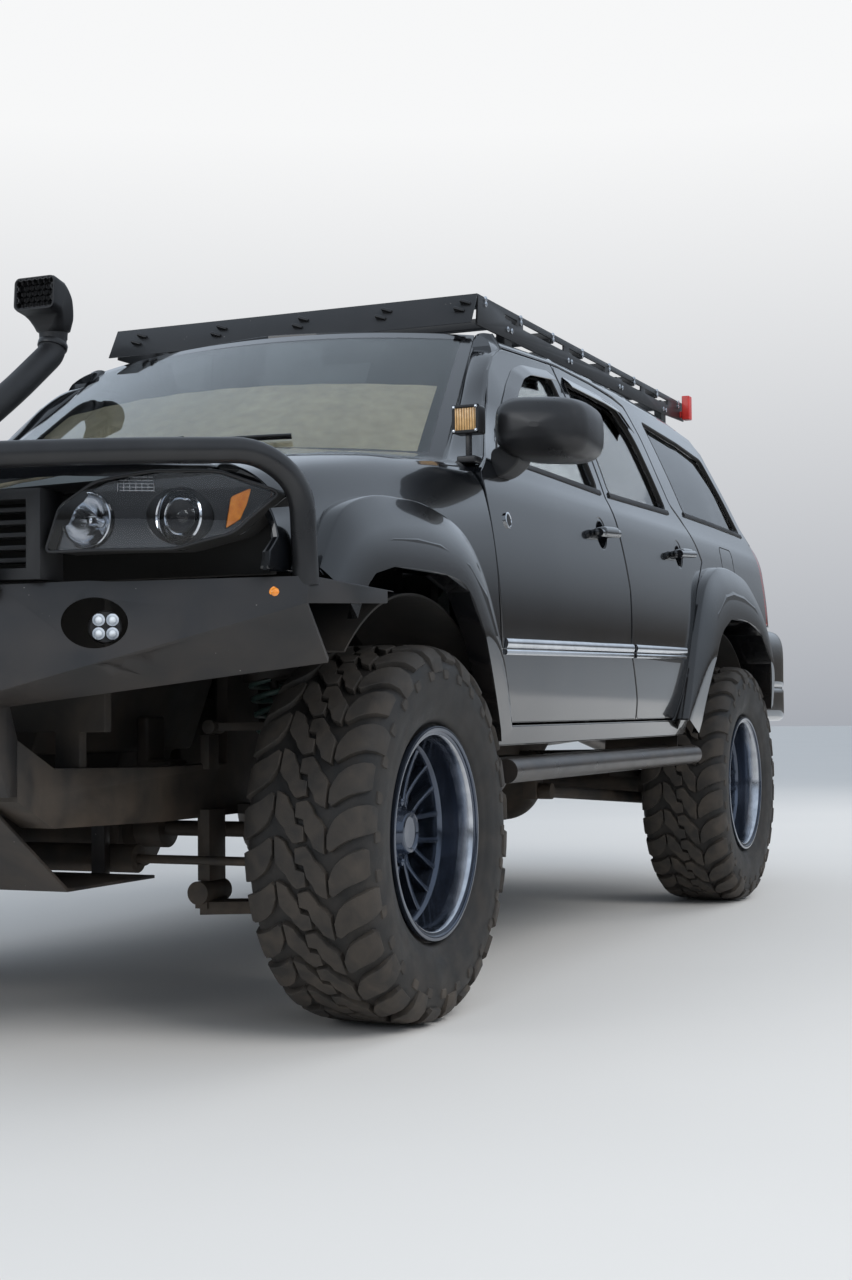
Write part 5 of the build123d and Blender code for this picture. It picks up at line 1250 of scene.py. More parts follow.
# look and edge rounding of each dressed node, in metres
dressed = {
    "front_bumper": ("plate", 0.002), "roof_rack": ("plate", 0.0012), "skid_plate": ("plate", 0.0015),
    "ladder_frame": ("chassis", 0.004), "front_arms": ("chassis", 0.0025),
    "knuckle_left": ("chassis", 0.003), "knuckle_right": ("chassis", 0.003),
    "front_drive": ("chassis", 0.003), "rear_axle": ("chassis", 0.003),
    "transmission": ("chassis", 0.006), "steering_rack": ("chassis", 0.0015),
    "engine_block": ("chassis", 0.008), "fuel_tank": ("liner", 0.015), "grille": ("plastic", 0.0012),
    "front_panel": ("liner", 0.002), "scuttle": ("plastic", 0.002), "dashboard": ("trim", 0.01),
    "tail_lamps": ("red", 0.0015), "floor_pan": ("liner", 0.0),
    "arch_liners": ("liner", 0.0), "rock_sliders": ("tube", 0.0), "exhaust": ("exhaust", 0.0),
    "steering_wheel": ("trim", 0.0), "front_seats": ("fabric", 0.025), "rear_seat": ("fabric", 0.025),
}
for node, (look, width) in dressed.items():
    dressNode(node, look, width, 3 if width > 0.005 else 2)

# the oval behind which each lamp sits: moved inwards along its plate and a little larger
plate = bpy.data.objects["front_bumper_dressed"].data
points = np.empty(len(plate.vertices) * 3)
plate.vertices.foreach_get("co", points)
points = points.reshape(-1, 3)
oval = dict(x=0.618, station=-0.806, z=0.85, reach=0.074, growth=1.1, move=0.048)
for side in (-1, 1):
    centre = np.array([side * oval["x"], oval["station"] + frontAxleY, oval["z"]])
    near = np.linalg.norm(points - centre, axis=1) < oval["reach"]
    rim = points[near]
    middle = rim.mean(0)
    normal = np.linalg.svd(rim - middle)[2][2]
    along = np.array([-side, 0.0, 0.0]) - normal * (-side * normal[0])
    points[near] = middle + (rim - middle) * oval["growth"] + along / np.linalg.norm(along) * oval["move"]
plate.vertices.foreach_set("co", points.reshape(-1))
plate.update()
print("castings and plates dressed")

# Tailgate
gateProfile = np.array([(0.9, 3.733), (0.91, 3.735), (1.05, 3.742), (1.18, 3.735), (1.3, 3.7), (1.47, 3.618),
                        (1.64, 3.52), (1.745, 3.44), (1.78, 3.366)])
gateLine = mirrored([(0.0, 0.912), (0.6, 0.912), (0.64, 0.96), (0.64, 1.29), (0.585, 1.696), (0.56, 1.716),
                     (0.42, 1.742), (0.21, 1.762), (0.0, 1.768)])
gateWindow = [(0.545, 1.335), (0.5, 1.65), (-0.5, 1.65), (-0.545, 1.335)]


gateHalf, gateCurve = 0.65, 0.034


def gateSurface(depth=0.0):
    # seen from behind, so across runs to the right; the face curves forward towards the sides
    def surface(u, z):
        y = smoothTable(gateProfile[:, 0], gateProfile[:, 1], z) - gateCurve * (u / gateHalf) ** 2 - depth
        return np.column_stack([-u, y + frontAxleY, z])
    return surface


gate = trimmedSheet(gateLine, [gateWindow], gateSurface(), gateSurface(), radius=0.02, spacing=0.03)
addPiece("tailgate_skin", gate, "paint", "tailgate")
pane = trimmedSheet(gateWindow, [], gateSurface(0.011), gateSurface(0.011), radius=0.03, spacing=0.05,
                    backed=0.005, lift=0.0, edgeRoll=0.0005)
addPiece("tailgate_pane", pane, "privacy", "tailgate", replaced=("tailgate_glass",))
print("tailgate made")

# Windscreen
# rows run from the lower arc to the upper arc; a band round the edge is black
screenArcs = np.array([[(-0.742, 0.486, 1.31), (0.0, 0.3, 1.338), (0.742, 0.486, 1.31)],
                       [(-0.61, 1.032, 1.738), (0.0, 0.94, 1.766), (0.61, 1.032, 1.738)]])


def arcInSpace(a, b, c, t):
    # the circle through three points, as shares of its length
    u = unit(b - a)
    n = unit(np.cross(b - a, c - a))
    v = np.cross(n, u)
    bx, cx, cy = np.linalg.norm(b - a), (c - a) @ u, (c - a) @ v
    px, py = bx / 2, ((cx - bx / 2) ** 2 + cy ** 2 - (bx / 2) ** 2) / (2 * cy)
    radius = math.hypot(px, py)
    start = math.atan2(-py, -px)
    end = math.atan2(cy - py, cx - px)
    turn = (end - start) % (2 * math.pi)
    middle = math.atan2(-py, bx - px)
    if (middle - start) % (2 * math.pi) > turn:
        turn -= 2 * math.pi
    angle = start + turn * t
    return a + u * (px + radius * np.cos(angle))[:, None] + v * (py + radius * np.sin(angle))[:, None]


def screenGrid(across, up, depth):
    # straight lines between the lower and the upper arc, bowed 10 mm, set in by the depth
    low, high = (arcInSpace(*rowPlace(arc), across) for arc in screenArcs)
    points = low[None] * (1 - up)[:, None, None] + high[None] * up[:, None, None]
    bow = 0.01 * 4 * up * (1 - up)
    points[..., 2] += bow[:, None]
    normal = unit(np.cross(high - low, np.gradient(low, axis=0)))
    normal *= np.sign(normal[:, 2:3])
    return points - normal[None] * depth


def edgeBands(count, band):
    # shares from 0 to 1 with one narrow band at each end
    return np.concatenate([[0, band], np.linspace(band, 1 - band, count)[1:-1], [1 - band, 1]])


across, up = edgeBands(34, 0.026), edgeBands(16, 0.05)
outer, inner = screenGrid(across, up, 0.0), screenGrid(across, up, 0.005)
rows, columns = len(up), len(across)
cells = gridFaces(rows, columns).reshape(rows - 1, columns - 1, 4)
edge = np.ones((rows - 1, columns - 1), bool)
edge[1:-1, 1:-1] = False
for name, chosen, look in (("windscreen", ~edge, "screen"), ("windscreen_band", edge, "band")):
    faces = [cells[chosen], cells[chosen][:, ::-1] + rows * columns]
    if name == "windscreen_band":
        ringIndex = np.concatenate([np.arange(columns), columns * np.arange(1, rows) + columns - 1,
                                    (rows - 1) * columns + np.arange(columns - 2, -1, -1),
                                    columns * np.arange(rows - 2, 0, -1)])
        after = np.roll(ringIndex, -1)
        faces.append(np.column_stack([ringIndex, ringIndex + rows * columns, after + rows * columns, after]))
    addPiece(name, (np.vstack([outer.reshape(-1, 3), inner.reshape(-1, 3)]), faces, None), look, "vehicle",
             sharp=40, replaced=("fixed_glass",) if name == "windscreen" else ())
print("windscreen made")


# Trim on the body side

def alongSide(points, lift=0.0, step=0.02):
    # a path of (station, height) corners laid on the body side, with the outward direction at each point
    line = roundedPath(points, 0.02, step)
    place = sideExact(line[:, 0], line[:, 1])
    du = sideSmooth(line[:, 0] + probe, line[:, 1]) - sideSmooth(line[:, 0] - probe, line[:, 1])
    dv = sideSmooth(line[:, 0], line[:, 1] + probe) - sideSmooth(line[:, 0], line[:, 1] - probe)
    out = unit(np.cross(du, dv))
    return place + out * lift, out


def sideStrip(points, profile, lift=0.002, step=0.02):
    # profile: (along the surface, outwards) offsets
    path, out = alongSide(points, lift, step)
    along = unit(np.gradient(path, axis=0))
    across = unit(np.cross(out, along))
    profile = np.array(profile)
    placed = path[:, None] + across[:, None] * profile[None, :, 0:1] + out[:, None] * profile[None, :, 1:2]
    rows, columns = placed.shape[:2]
    faces = [gridFaces(rows, columns, False, True)] + endCaps(rows, columns)
    return outward((placed.reshape(-1, 3), faces, None))


wideMoulding = [(-0.012, -0.001), (-0.012, 0.006), (-0.0085, 0.01), (-0.003, 0.0118), (0.003, 0.0118),
                (0.0085, 0.01), (0.012, 0.006), (0.012, -0.001)]
narrowMoulding = [(-0.0066, -0.001), (-0.0066, 0.008), (-0.003, 0.0108), (0.003, 0.0108), (0.0066, 0.008),
                  (0.0066, -0.001)]
for end, low, high in (("front", 0.4505, 1.4765), ("rear", 1.508, 2.066)):
    heights = [0.85 + 0.022 * (u - 0.452) / 1.612 for u in (low, high)]
    wide = sideStrip([(low, heights[0]), (high, heights[1])], wideMoulding)
    heights = [0.8285 + 0.022 * (u - 0.452) / 1.61 for u in (low, high)]
    narrow = sideStrip([(low, heights[0]), (high - 0.002, heights[1])], narrowMoulding)
    bothSides("moulding_" + end, wide, "chrome", doorBodies[end], sharp=35)
    bothSides("lower_moulding_" + end, narrow, "chrome", doorBodies[end], sharp=35)

beltProfile = [(-0.0085, -0.004), (-0.0085, 0.0028), (-0.005, 0.005), (0.0055, 0.0045), (0.0095, 0.001),
               (0.0095, -0.006)]
belts = {"front": [(0.57, 1.3255), (1.362, 1.3135)], "rear": [(1.444, 1.3145), (2.095, 1.3245)]}
for end, line in belts.items():
    bothSides("belt_strip_" + end, sideStrip(line, beltProfile), "plastic", doorBodies[end], sharp=35)
bothSides("belt_strip_quarter", sideStrip([(2.322, 1.34), (3.27, 1.3445)], beltProfile), "plastic",
          sharp=35)

# rubber round the windows: a thin black roll at each edge, and the smoked visors over the door windows
sealProfile = [(-0.005, -0.01), (-0.005, -0.001), (-0.002, 0.0012), (0.0025, 0.0012), (0.005, -0.001),
               (0.005, -0.01)]
for name, window, bodies in (("front", frontWindow, doorBodies["front"]),
                             ("rear", rearWindow, doorBodies["rear"]),
                             ("quarter", quarterWindow, vehicleSides)):
    loop = roundedPath(window, 0.028, 0.02, True)
    bothSides("window_seal_" + name, sideStrip(np.vstack([loop, loop[:1]]).tolist(), sealProfile, 0.0015),
              "liner", bodies, sharp=50)
visorProfile = [(-0.03, 0.015), (-0.029, 0.0168), (-0.012, 0.0125), (0.006, 0.004), (0.012, 0.0022),
                (0.012, 0.0005), (0.005, 0.002), (-0.012, 0.0106)]
visors = {"front": [(0.7, 1.405), (0.812, 1.473), (0.936, 1.5605), (1.043, 1.6235), (1.13, 1.65),
                    (1.33, 1.666)],
          "rear": [(1.446, 1.665), (1.76, 1.663), (1.925, 1.653), (2.0, 1.59)]}
for end, line in visors.items():
    shape = sideStrip(line, visorProfile, 0.002)
    bothSides("visor_" + end, shape, "smoke", doorBodies[end], sharp=40)

# fuel flap: its gap as a thin dark line; left side only
flap = roundedPath([(2.694, 1.259), (2.878, 1.259), (2.892, 1.245), (2.892, 1.119), (2.71, 1.119),
                    (2.694, 1.135)], 0.03, 0.01, True)
lineProfile = [(-0.0016, -0.004), (-0.0016, 0.0004), (0.0016, 0.0004), (0.0016, -0.004)]
addPiece("fuel_flap_gap", sideStrip(np.vstack([flap, flap[:1]]), lineProfile, 0.0021, 0.01), "liner",
         "vehicle", sharp=50)


def sideAxes(station, height):
    # place on the body side, then the station, height and outward directions there
    place, out = alongSide([(station - 0.01, height), (station + 0.01, height)])
    place, out = place.mean(0), unit(out.mean(0))
    up = unit(np.array([0.0, 0.0, 1.0]) - out * out[2])
    return place, np.cross(up, out) * -1, up, out


def onSide(shape, station, height, lift=0.0):
    # a shape made with x outwards, y along the station and z up, set on the body side
    place, along, up, out = sideAxes(station, height)
    return shape[0] @ np.array([out, along, up]) + place + out * lift, shape[1], None


# blank disc with a bright ring on the wing's rear edge
disc = turnedShape([(-0.002, 0.0205), (0.0045, 0.0205), (0.0052, 0.019), (0.0052, 0.0165),
                    (0.004, 0.0155)], 40)
face = turnedShape([(0.0038, 0.0158), (0.0046, 0.01), (0.0048, 0.0)], 40)
for name, shape, look in (("side_disc_ring", disc, "chrome"), ("side_disc", face, "plastic")):
    bothSides(name, onSide(outward(shape), 0.512, 1.155, 0.002), look, doorBodies["front"], sharp=40)

# pull handles: a bar with swollen ends over the round recess
barTable = [(-0.088, 0.002, 0.003), (-0.086, 0.0085, 0.007), (-0.076, 0.012, 0.012), (-0.05, 0.014, 0.0125),
            (0.0, 0.015, 0.013), (0.05, 0.014, 0.0125), (0.076, 0.012, 0.012), (0.086, 0.0085, 0.007),
            (0.088, 0.002, 0.003)]


def signedPower(value, power):
    # a power that keeps the sign
    return np.sign(value) * np.abs(value) ** power


handleRows, handleAround = 40, 20


def handleShape():
    # sections |cos|^0.75 by |sin|^0.75 along the bar; its ends bend towards the door
    table = np.array(barTable)
    t = np.linspace(table[0, 0], table[-1, 0], handleRows)
    tall, deep = (smoothTable(table[:, 0], table[:, k], t) for k in (1, 2))
    angle = np.arange(handleAround) * 2 * np.pi / handleAround
    shape = signedPower(np.cos(angle), 0.75), signedPower(np.sin(angle), 0.75)
    x = 0.0255 + deep[:, None] * shape[0][None] - 0.012 * smoothStep(0.055, 0.088, np.abs(t))[:, None]
    z = tall[:, None] * shape[1][None] - (0.06 * t)[:, None]
    y = np.broadcast_to(t[:, None], x.shape)
    faces = [gridFaces(handleRows, handleAround, False, True)] + endCaps(handleRows, handleAround)
    return outward((np.stack([x, y, z], -1).reshape(-1, 3), faces, None))


for end, station in handleStations.items():
    bothSides("pull_handle_" + end, onSide(handleShape(), station, handleHeight), "paint", doorBodies[end],
              sharp=50)
print("side trim made")

# Door mirrors
mirrorTable = np.array([(0.427, 0.1, 0.08), (0.43, 0.42, 0.34), (0.436, 0.62, 0.55), (0.448, 0.82, 0.76),
                        (0.48, 0.965, 0.93), (0.54, 1.0, 1.0), (0.6, 0.975, 0.965)])
mirrorPlace = dict(x=1.006, z=1.376, width=0.2465, height=0.16, boxy=3.4)
mirrorAround = 56


def mirrorShape():
    # sections |cos|^(2 / boxy) by |sin|^(2 / boxy) along the station, then a rim that steps inwards
    station = np.concatenate([np.linspace(0.427, 0.452, 9)[:-1], np.linspace(0.452, 0.6015, 14)])
    wide, tall = (smoothTable(mirrorTable[:, 0], mirrorTable[:, k], station) for k in (1, 2))
    angle = np.arange(mirrorAround) * 2 * np.pi / mirrorAround
    power = 2 / mirrorPlace["boxy"]
    sx, sz = signedPower(np.cos(angle), power), signedPower(np.sin(angle), power)
    crease = 1 + 0.012 * np.exp(-((sz + 0.12) / 0.1) ** 2)
    x = mirrorPlace["x"] + (wide * mirrorPlace["width"] / 2)[:, None] * (sx * crease)[None]
    z = (mirrorPlace["z"] + (tall * mirrorPlace["height"] / 2)[:, None] * sz[None]
         - 0.01 * ((x - mirrorPlace["x"]) / 0.127))
    y = np.broadcast_to(station[:, None], x.shape)
    outerRows = np.stack([x, y, z], -1)
    centre = np.array([mirrorPlace["x"], 0.0, mirrorPlace["z"]])
    rim = []
    for share, back in ((0.955, 0.001), (0.945, -0.004), (0.945, -0.013)):
        row = outerRows[-1].copy()
        row[:, [0, 2]] = centre[[0, 2]] + (row[:, [0, 2]] - centre[[0, 2]]) * share
        row[:, 1] += back
        rim.append(row)
    rows = np.concatenate([outerRows, np.stack(rim)])
    points = rowPlace(rows.reshape(-1, 3))
    faces = [gridFaces(len(rows), mirrorAround, False, True), [list(range(mirrorAround))]]
    return outward((points, faces, None)), rim[-1]


shell, glassEdge = mirrorShape()
bothSides("mirror_shell", shell, "tube", doorBodies["front"], sharp=40)
glassPoints = rowPlace(np.vstack([glassEdge, glassEdge.mean(0)[None] + [0, -0.0015, 0]]))
edge = np.arange(mirrorAround)
fan = np.column_stack([edge, np.roll(edge, -1), np.full(mirrorAround, mirrorAround)])
bothSides("mirror_glass", (glassPoints, [fan], None), "mirror", doorBodies["front"])
armLine = [(0.876, 1.262), (0.862, 1.3), (0.864, 1.332), (0.9, 1.346), (0.942, 1.332), (0.936, 1.296),
           (0.905, 1.272)]
armRows = []
for station, share in ((0.503, 0.9), (0.506, 0.985), (0.512, 1.0), (0.58, 1.0), (0.587, 0.985),
                       (0.59, 0.9)):
    line = roundedPath(armLine, 0.012, 0.008, True)
    middle = line.mean(0)
    line = middle + (line - middle) * share
    armRows.append(np.column_stack([line[:, 0], np.full(len(line), station), line[:, 1]]))
rows, columns = len(armRows), len(armRows[0])
arm = (rowPlace(np.vstack(armRows)), [gridFaces(rows, columns, False, True)] + endCaps(rows, columns), None)
bothSides("mirror_arm", outward(arm), "plastic", doorBodies["front"], sharp=40)
for side in ("left", "right"):
    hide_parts("mirror_" + side)
print("mirrors made")


# Small pieces seen from the front

def bothPlain(name, shapes, look, **options):
    # closed shapes as one piece on each side
    bothSides(name, joinShapes([outward(shape) for shape in shapes]), look, **options)


def turnTo(shape, place, axis, side=(0.0, 0.0, 1.0)):
    # a shape made about x is carried to a place and turned so that its x lies along the axis
    axis = unit(np.array(axis, float))
    across = unit(np.cross(np.array(side, float), axis))
    return shape[0] @ np.array([axis, across, np.cross(axis, across)]) + np.array(place), shape[1], None


def stationPlace(x, station, z):
    return np.array([x, station + frontAxleY, z])


# lamp box behind the headlamp lens
rimLine = roundedPath(lampLine, 0.014, 0.01, True)
depths = (-0.001, 0.02, 0.079)
boxRows = np.stack([lampSurface(d)(rimLine[:, 0], rimLine[:, 1]) for d in depths])
bothSides("lamp_box", (boxRows.reshape(-1, 3), [gridFaces(3, len(rimLine), False, True)[:, ::-1]], None),
          "liner", replaced=("headlamps",))
# black shroud with stepped rings round the two bowls
holes = [circle(*bowl[unitName], 24) for unitName in ("highBeam", "projector")]
shroud = trimmedSheet(lampLine, holes, lampSurface(0.034), lampSurface(0.034), radius=0.0, spacing=0.012,
                      edgeRoll=0.002, flange=0.01)
bothSides("lamp_shroud", shroud, "band")

# four-bowl lamp behind each oval in the bumper, amber marker at the bumper's end
podPlace, podAxis = stationPlace(0.604, -0.815, 0.85), (0.6, -0.8, 0.0)
podBody = turnedShape([(-0.04, 0.0), (-0.04, 0.028), (-0.03, 0.031), (0.002, 0.031), (0.004, 0.0295),
                       (0.002, 0.028), (0.0, 0.0)], 40)
bowls, domes = [], []
for up in (-1, 1):
    for across in (-1, 1):
        offset = np.array([0.0, 0.0128 * across, 0.0128 * up])
        cup = turnedShape([(0.0045, 0.0122), (0.006, 0.0118), (0.0045, 0.0108), (0.002, 0.008),
                           (0.0012, 0.004)], 24)
        dome = turnedShape([(0.0008, 0.0072), (0.004, 0.0062), (0.0062, 0.0038), (0.007, 0.0)], 20)
        bowls.append(turnTo((cup[0] + offset, cup[1]), podPlace, podAxis))
        domes.append(turnTo((dome[0] + offset, dome[1]), podPlace, podAxis))
bothPlain("pod_body", [turnTo(podBody, podPlace, podAxis)], "tube", sharp=40)
bothPlain("pod_bowls", bowls, "chrome", sharp=50)
# the lens domes are near-white: a painted highlight standing in for the glint of clear plastic
bothPlain("pod_lenses", domes, "clear")
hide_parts("auxiliary_lamps")
marker = turnedShape([(-0.002, 0.0125), (0.001, 0.0125), (0.0025, 0.0105), (0.0025, 0.0095), (0.0045, 0.0085),
                      (0.0062, 0.0055), (0.0068, 0.0)], 32)
bothPlain("bumper_marker", [turnTo(marker, stationPlace(0.8795, -0.6555, 0.9135), (0.72, -0.69, 0.05))],
          "amber", sharp=40)

# cube lamp on its stalk before the left pillar
cubePlace = stationPlace(0.843, 0.416, 1.395)
addSolids("cube_body", (roundedBox(cubePlace, (0.07, 0.046, 0.07), 0.006),
                        roundedBox(cubePlace + [0, 0.03, 0], (0.05, 0.02, 0.054), 0.004),
                        roundedBox(stationPlace(0.843, 0.412, 1.327), (0.014, 0.014, 0.076), 0.004),
                        roundedBox(stationPlace(0.843, 0.412, 1.297), (0.05, 0.04, 0.018), 0.004)),
          "tube", sharp=40)
bezelBars = [roundedBox(cubePlace + [dx, -0.024, dz], size, 0.0025) for dx, dz, size in (
    (0.0, 0.031, (0.07, 0.008, 0.008)), (0.0, -0.031, (0.07, 0.008, 0.008)),
    (0.031, 0.0, (0.008, 0.008, 0.07)), (-0.031, 0.0, (0.008, 0.008, 0.07)))]
screws = [turnTo(turnedShape([(0.0, 0.0042), (0.0022, 0.004), (0.0028, 0.003), (0.0028, 0.0)], 16),
                 cubePlace + [dx, -0.028, dz], (0, -1, 0))
          for dx in (-0.029, 0.029) for dz in (-0.029, 0.029)]
addSolids("cube_bezel", bezelBars, "plastic", sharp=40)
addSolids("cube_screws", screws, "bright", sharp=40)
flutes = [roundedBox(cubePlace + [0.0068 * k, -0.0235, 0], (0.006, 0.005, 0.056), 0.0024, steps=2)
          for k in range(-4, 5)]
addSolids("cube_lens", flutes, "cubeLens", sharp=60)
print("lamps on the bumper and pillar made")

# Snorkel
# A round tube up the pillar; the head is a row of rounded rectangles that turn forward.
tubePath = roundedPath(rowPlace([(-0.868, 0.13, 1.19), (-0.846, 0.3, 1.27), (-0.774, 0.8, 1.66),
                                 (-0.774, 0.985, 1.8), (-0.774, 0.99, 1.866)]), 0.07, 0.02)
tube = sweepProfile(tubePath, ring(0.0418, 36), up=(1, 0, 0))
snorkelX = -0.774
headTable = np.array([(0.99, 1.842, 0, 0.084, 0.084, 0.04), (0.9905, 1.862, 3, 0.086, 0.086, 0.041),
                      (0.991, 1.866, 3, 0.096, 0.093, 0.038), (0.99, 1.888, 14, 0.106, 0.097, 0.03),
                      (0.972, 1.932, 42, 0.13, 0.103, 0.022), (0.938, 1.958, 74, 0.148, 0.104, 0.02),
                      (0.9, 1.9655, 86, 0.149, 0.105, 0.019), (0.889, 1.9663, 86, 0.145, 0.101, 0.018)])


def roundedSection(width, deep, radius):
    # corner arcs of a rounded rectangle, the same number of points for any size
    angle = np.linspace(0, np.pi / 2, 12)
    parts = []
    for k, (sx, sy) in enumerate(((1, 1), (-1, 1), (-1, -1), (1, -1))):
        turn = angle + k * np.pi / 2
        parts.append(np.column_stack([sx * (width / 2 - radius) + radius * np.cos(turn),
                                      sy * (deep / 2 - radius) + radius * np.sin(turn)]))
    return np.vstack(parts)


def headRow(row, shrink=0.0):
    # one rounded rectangle of the head, tilted about the across direction
    station, z, turn, width, deep, radius = row
    turn = math.radians(turn)
    flat = roundedSection(width - 2 * shrink, deep - 2 * shrink, max(0.004, radius - shrink))
    out = np.column_stack([snorkelX + flat[:, 0], station + flat[:, 1] * math.cos(turn),
                           z + flat[:, 1] * math.sin(turn)])
    return rowPlace(out)


runs = np.linspace(0, 1, len(headTable))
fine = np.concatenate([runs[:4], np.linspace(runs[3], runs[5], 12)[1:], runs[6:]])
wide = np.column_stack([np.interp(fine, runs, headTable[:, k]) if k not in (0, 1, 2)
                        else smoothTable(runs, headTable[:, k], fine) for k in range(6)])
rowsOut = [headRow(row) for row in wide]
mouth = wide[-1]
for shrink, back in ((0.004, 0.0), (0.007, 0.003), (0.007, 0.026)):
    inner = mouth.copy()
    inner[0] += back
    rowsOut.append(headRow(inner, shrink))
count = len(rowsOut[0])
head = (np.vstack(rowsOut), [gridFaces(len(rowsOut), count, False, True),
                             [[(len(rowsOut) - 1) * count + k for k in range(count)]]], None)
bands = []
for station, z, along in ((0.65, 1.543, (0.0, 0.79, 0.61)), (0.975, 1.82, (0.0, 0.35, 0.94))):
    middle = tubePath[np.argmin(np.linalg.norm(tubePath - stationPlace(snorkelX, station, z), axis=1))]
    bands.append(turnTo(turnedShape([(-0.009, 0.0415), (-0.009, 0.045), (-0.006, 0.0462), (0.006, 0.0462),
                                     (0.009, 0.045), (0.009, 0.0415)], 40), middle, along, (1, 0, 0)))
addSolids("snorkel_body", [tube, head], "plastic", sharp=40, replaced=("snorkel",))
addSolids("snorkel_bands", bands, "tube", sharp=40)
# honeycomb: short six-sided tubes set side by side in the mouth
cell, wallHalf, combHalfWidth, combHalfHeight = 0.0115, 0.0016, 0.062, 0.042
hexTurn = np.arange(6) * np.pi / 3 + np.pi / 6
cells = []
for i in range(-10, 11):
    for j in range(-7, 8):
        cx, cz = (i + 0.5 * (j % 2)) * cell * math.sqrt(3), j * cell * 1.5
        if abs(cx) > combHalfWidth or abs(cz) > combHalfHeight:
            continue
        rowsHex = [np.column_stack([cx + r * np.cos(hexTurn), np.full(6, d), cz + r * np.sin(hexTurn)])
                   for r, d in ((cell + wallHalf, 0.004), (cell - wallHalf, 0.004), (cell - wallHalf, 0.014))]
        cells.append((np.vstack(rowsHex), [gridFaces(3, 6, False, True)], None))
comb = joinShapes(cells)
combPoints = comb[0] + stationPlace(snorkelX, mouth[0], mouth[1])
addPiece("snorkel_comb", (combPoints, comb[1], None), "comb", "vehicle", sharp=30)
print("snorkel made")

# Pillars beside the windscreen
pillarTable = np.array([(1.262, 0.868, 0.382, 0.757, 0.385), (1.315, 0.852, 0.48, 0.74, 0.486),
                        (1.401, 0.803, 0.611, 0.714, 0.602), (1.498, 0.756, 0.738, 0.684, 0.727),
                        (1.601, 0.722, 0.847, 0.652, 0.855), (1.654, 0.706, 0.927, 0.636, 0.922),
                        (1.692, 0.693, 1.026, 0.624, 0.975), (1.738, 0.664, 1.034, 0.611, 1.034)])
pillarRows, pillarColumns = 40, 12
z = np.linspace(1.262, 1.736, pillarRows)
t = np.linspace(0, 1, pillarColumns)
fields = [smoothTable(pillarTable[:, 0], pillarTable[:, k], z) for k in range(1, 5)]
outerLine, innerLine = np.stack([fields[0], fields[1], z], -1), np.stack([fields[2], fields[3], z], -1)
strip = outerLine[:, None] * (1 - t)[None, :, None] + innerLine[:, None] * t[None, :, None]
away = unit(np.cross(np.gradient(strip, axis=0), np.gradient(strip, axis=1)))
away *= np.sign(-away[..., 1:2])
crown = 0.002 + 0.006 * (4 * t * (1 - t)) - 0.01 * (np.exp(-t / 0.04) + np.exp(-(1 - t) / 0.04))
strip = strip + away * crown[None, :, None]
pillar = (rowPlace(strip.reshape(-1, 3)), [gridFaces(pillarRows, pillarColumns)], None)
bothSides("windscreen_pillar", pillar, "paint", sharp=60)
print("pillars made")

# Inside the windscreen, wipers
shadeRows, shadeColumns = 14, 60
shadeAcross, shadeUp = np.linspace(0.05, 0.95, shadeColumns), np.linspace(0.03, 0.6, shadeRows)
shadePoints = screenGrid(shadeAcross, shadeUp, 0.03)
shadePoints[..., 1] += 0.004 * np.sin(shadeAcross * 60)[None] * np.ones((shadeRows, 1))
back = shadePoints + np.array([0, 0.002, 0])
shadeFaces = gridFaces(shadeRows, shadeColumns)
bothFaces = [shadeFaces, shadeFaces[:, ::-1] + shadeRows * shadeColumns]
addPiece("sun_shade", (np.vstack([shadePoints.reshape(-1, 3), back.reshape(-1, 3)]), bothFaces, None),
         "shade", "vehicle", sharp=60)


def onScreen(across, up, lift, count=12):
    # points on a straight line over the glass
    net = screenGrid(np.linspace(*across, count), np.linspace(*up, count), -lift)
    return net[np.arange(count), np.arange(count)]


wipers = []
for across, up, pivot in (((0.4, 0.74), (0.045, 0.1), (0.36, 0.0)),
                          ((0.13, 0.42), (0.045, 0.1), (0.1, 0.0))):
    blade = onScreen(across, up, 0.006)
    spine = onScreen(across, up, 0.014)
    arm = np.vstack([onScreen((pivot[0], pivot[0] + 0.001), (0.005, 0.006), 0.022)[:1],
                     onScreen(across, up, 0.026)[5:6]])
    wipers += [sweepProfile(blade, ring(0.0032, 6)), sweepProfile(spine, ring(0.0048, 8)),
               sweepProfile(roundedPath(arm, 0.01, 0.02), ring(0.0062, 8))]
addSolids("wipers", wipers, "tube", sharp=50)
print("wipers made")

# Springs, dampers and stops

def helix(radius, wire, start, end, turns):
    # centre line of the wire about x; the end coils lie closer together
    s = np.linspace(0, 1, turns * 20)
    rise = start + (end - start) * (s - 0.06 * np.sin(2 * np.pi * s) / (2 * np.pi) * 2)
    angle = 2 * np.pi * turns * s
    return sweepProfile(np.column_stack([rise, radius * np.cos(angle), radius * np.sin(angle)]),
                        ring(wire, 8), up=(1, 0, 0))


foot, topEnd = stationPlace(0.56, 0.095, 0.29), stationPlace(0.482, 0.062, 0.79)
axis = topEnd - foot
length = float(np.linalg.norm(axis))
damper = [turnTo(turnedShape(p, 32), foot, axis) for p in (
    [(0.0, 0.0), (0.0, 0.03), (0.04, 0.03), (0.046, 0.0245), (0.3, 0.0245), (0.304, 0.021),
     (0.304, 0.0)],
    [(0.3, 0.0), (0.3, 0.0095), (length, 0.0095), (length, 0.0)],
    [(length - 0.03, 0.0), (length - 0.03, 0.05), (length - 0.024, 0.07), (length - 0.008, 0.072),
     (length - 0.004, 0.0)])]
bothPlain("strut_damper", damper, "chassis", sharp=40)
collar = turnedShape([(0.148, 0.025), (0.148, 0.042), (0.151, 0.044), (0.158, 0.044), (0.1595, 0.0405),
                      (0.1645, 0.0405), (0.166, 0.044), (0.173, 0.044), (0.176, 0.06), (0.182, 0.063),
                      (0.187, 0.062), (0.187, 0.025)], 40)
bothPlain("strut_collar", [turnTo(collar, foot, axis)], "magenta", sharp=35)
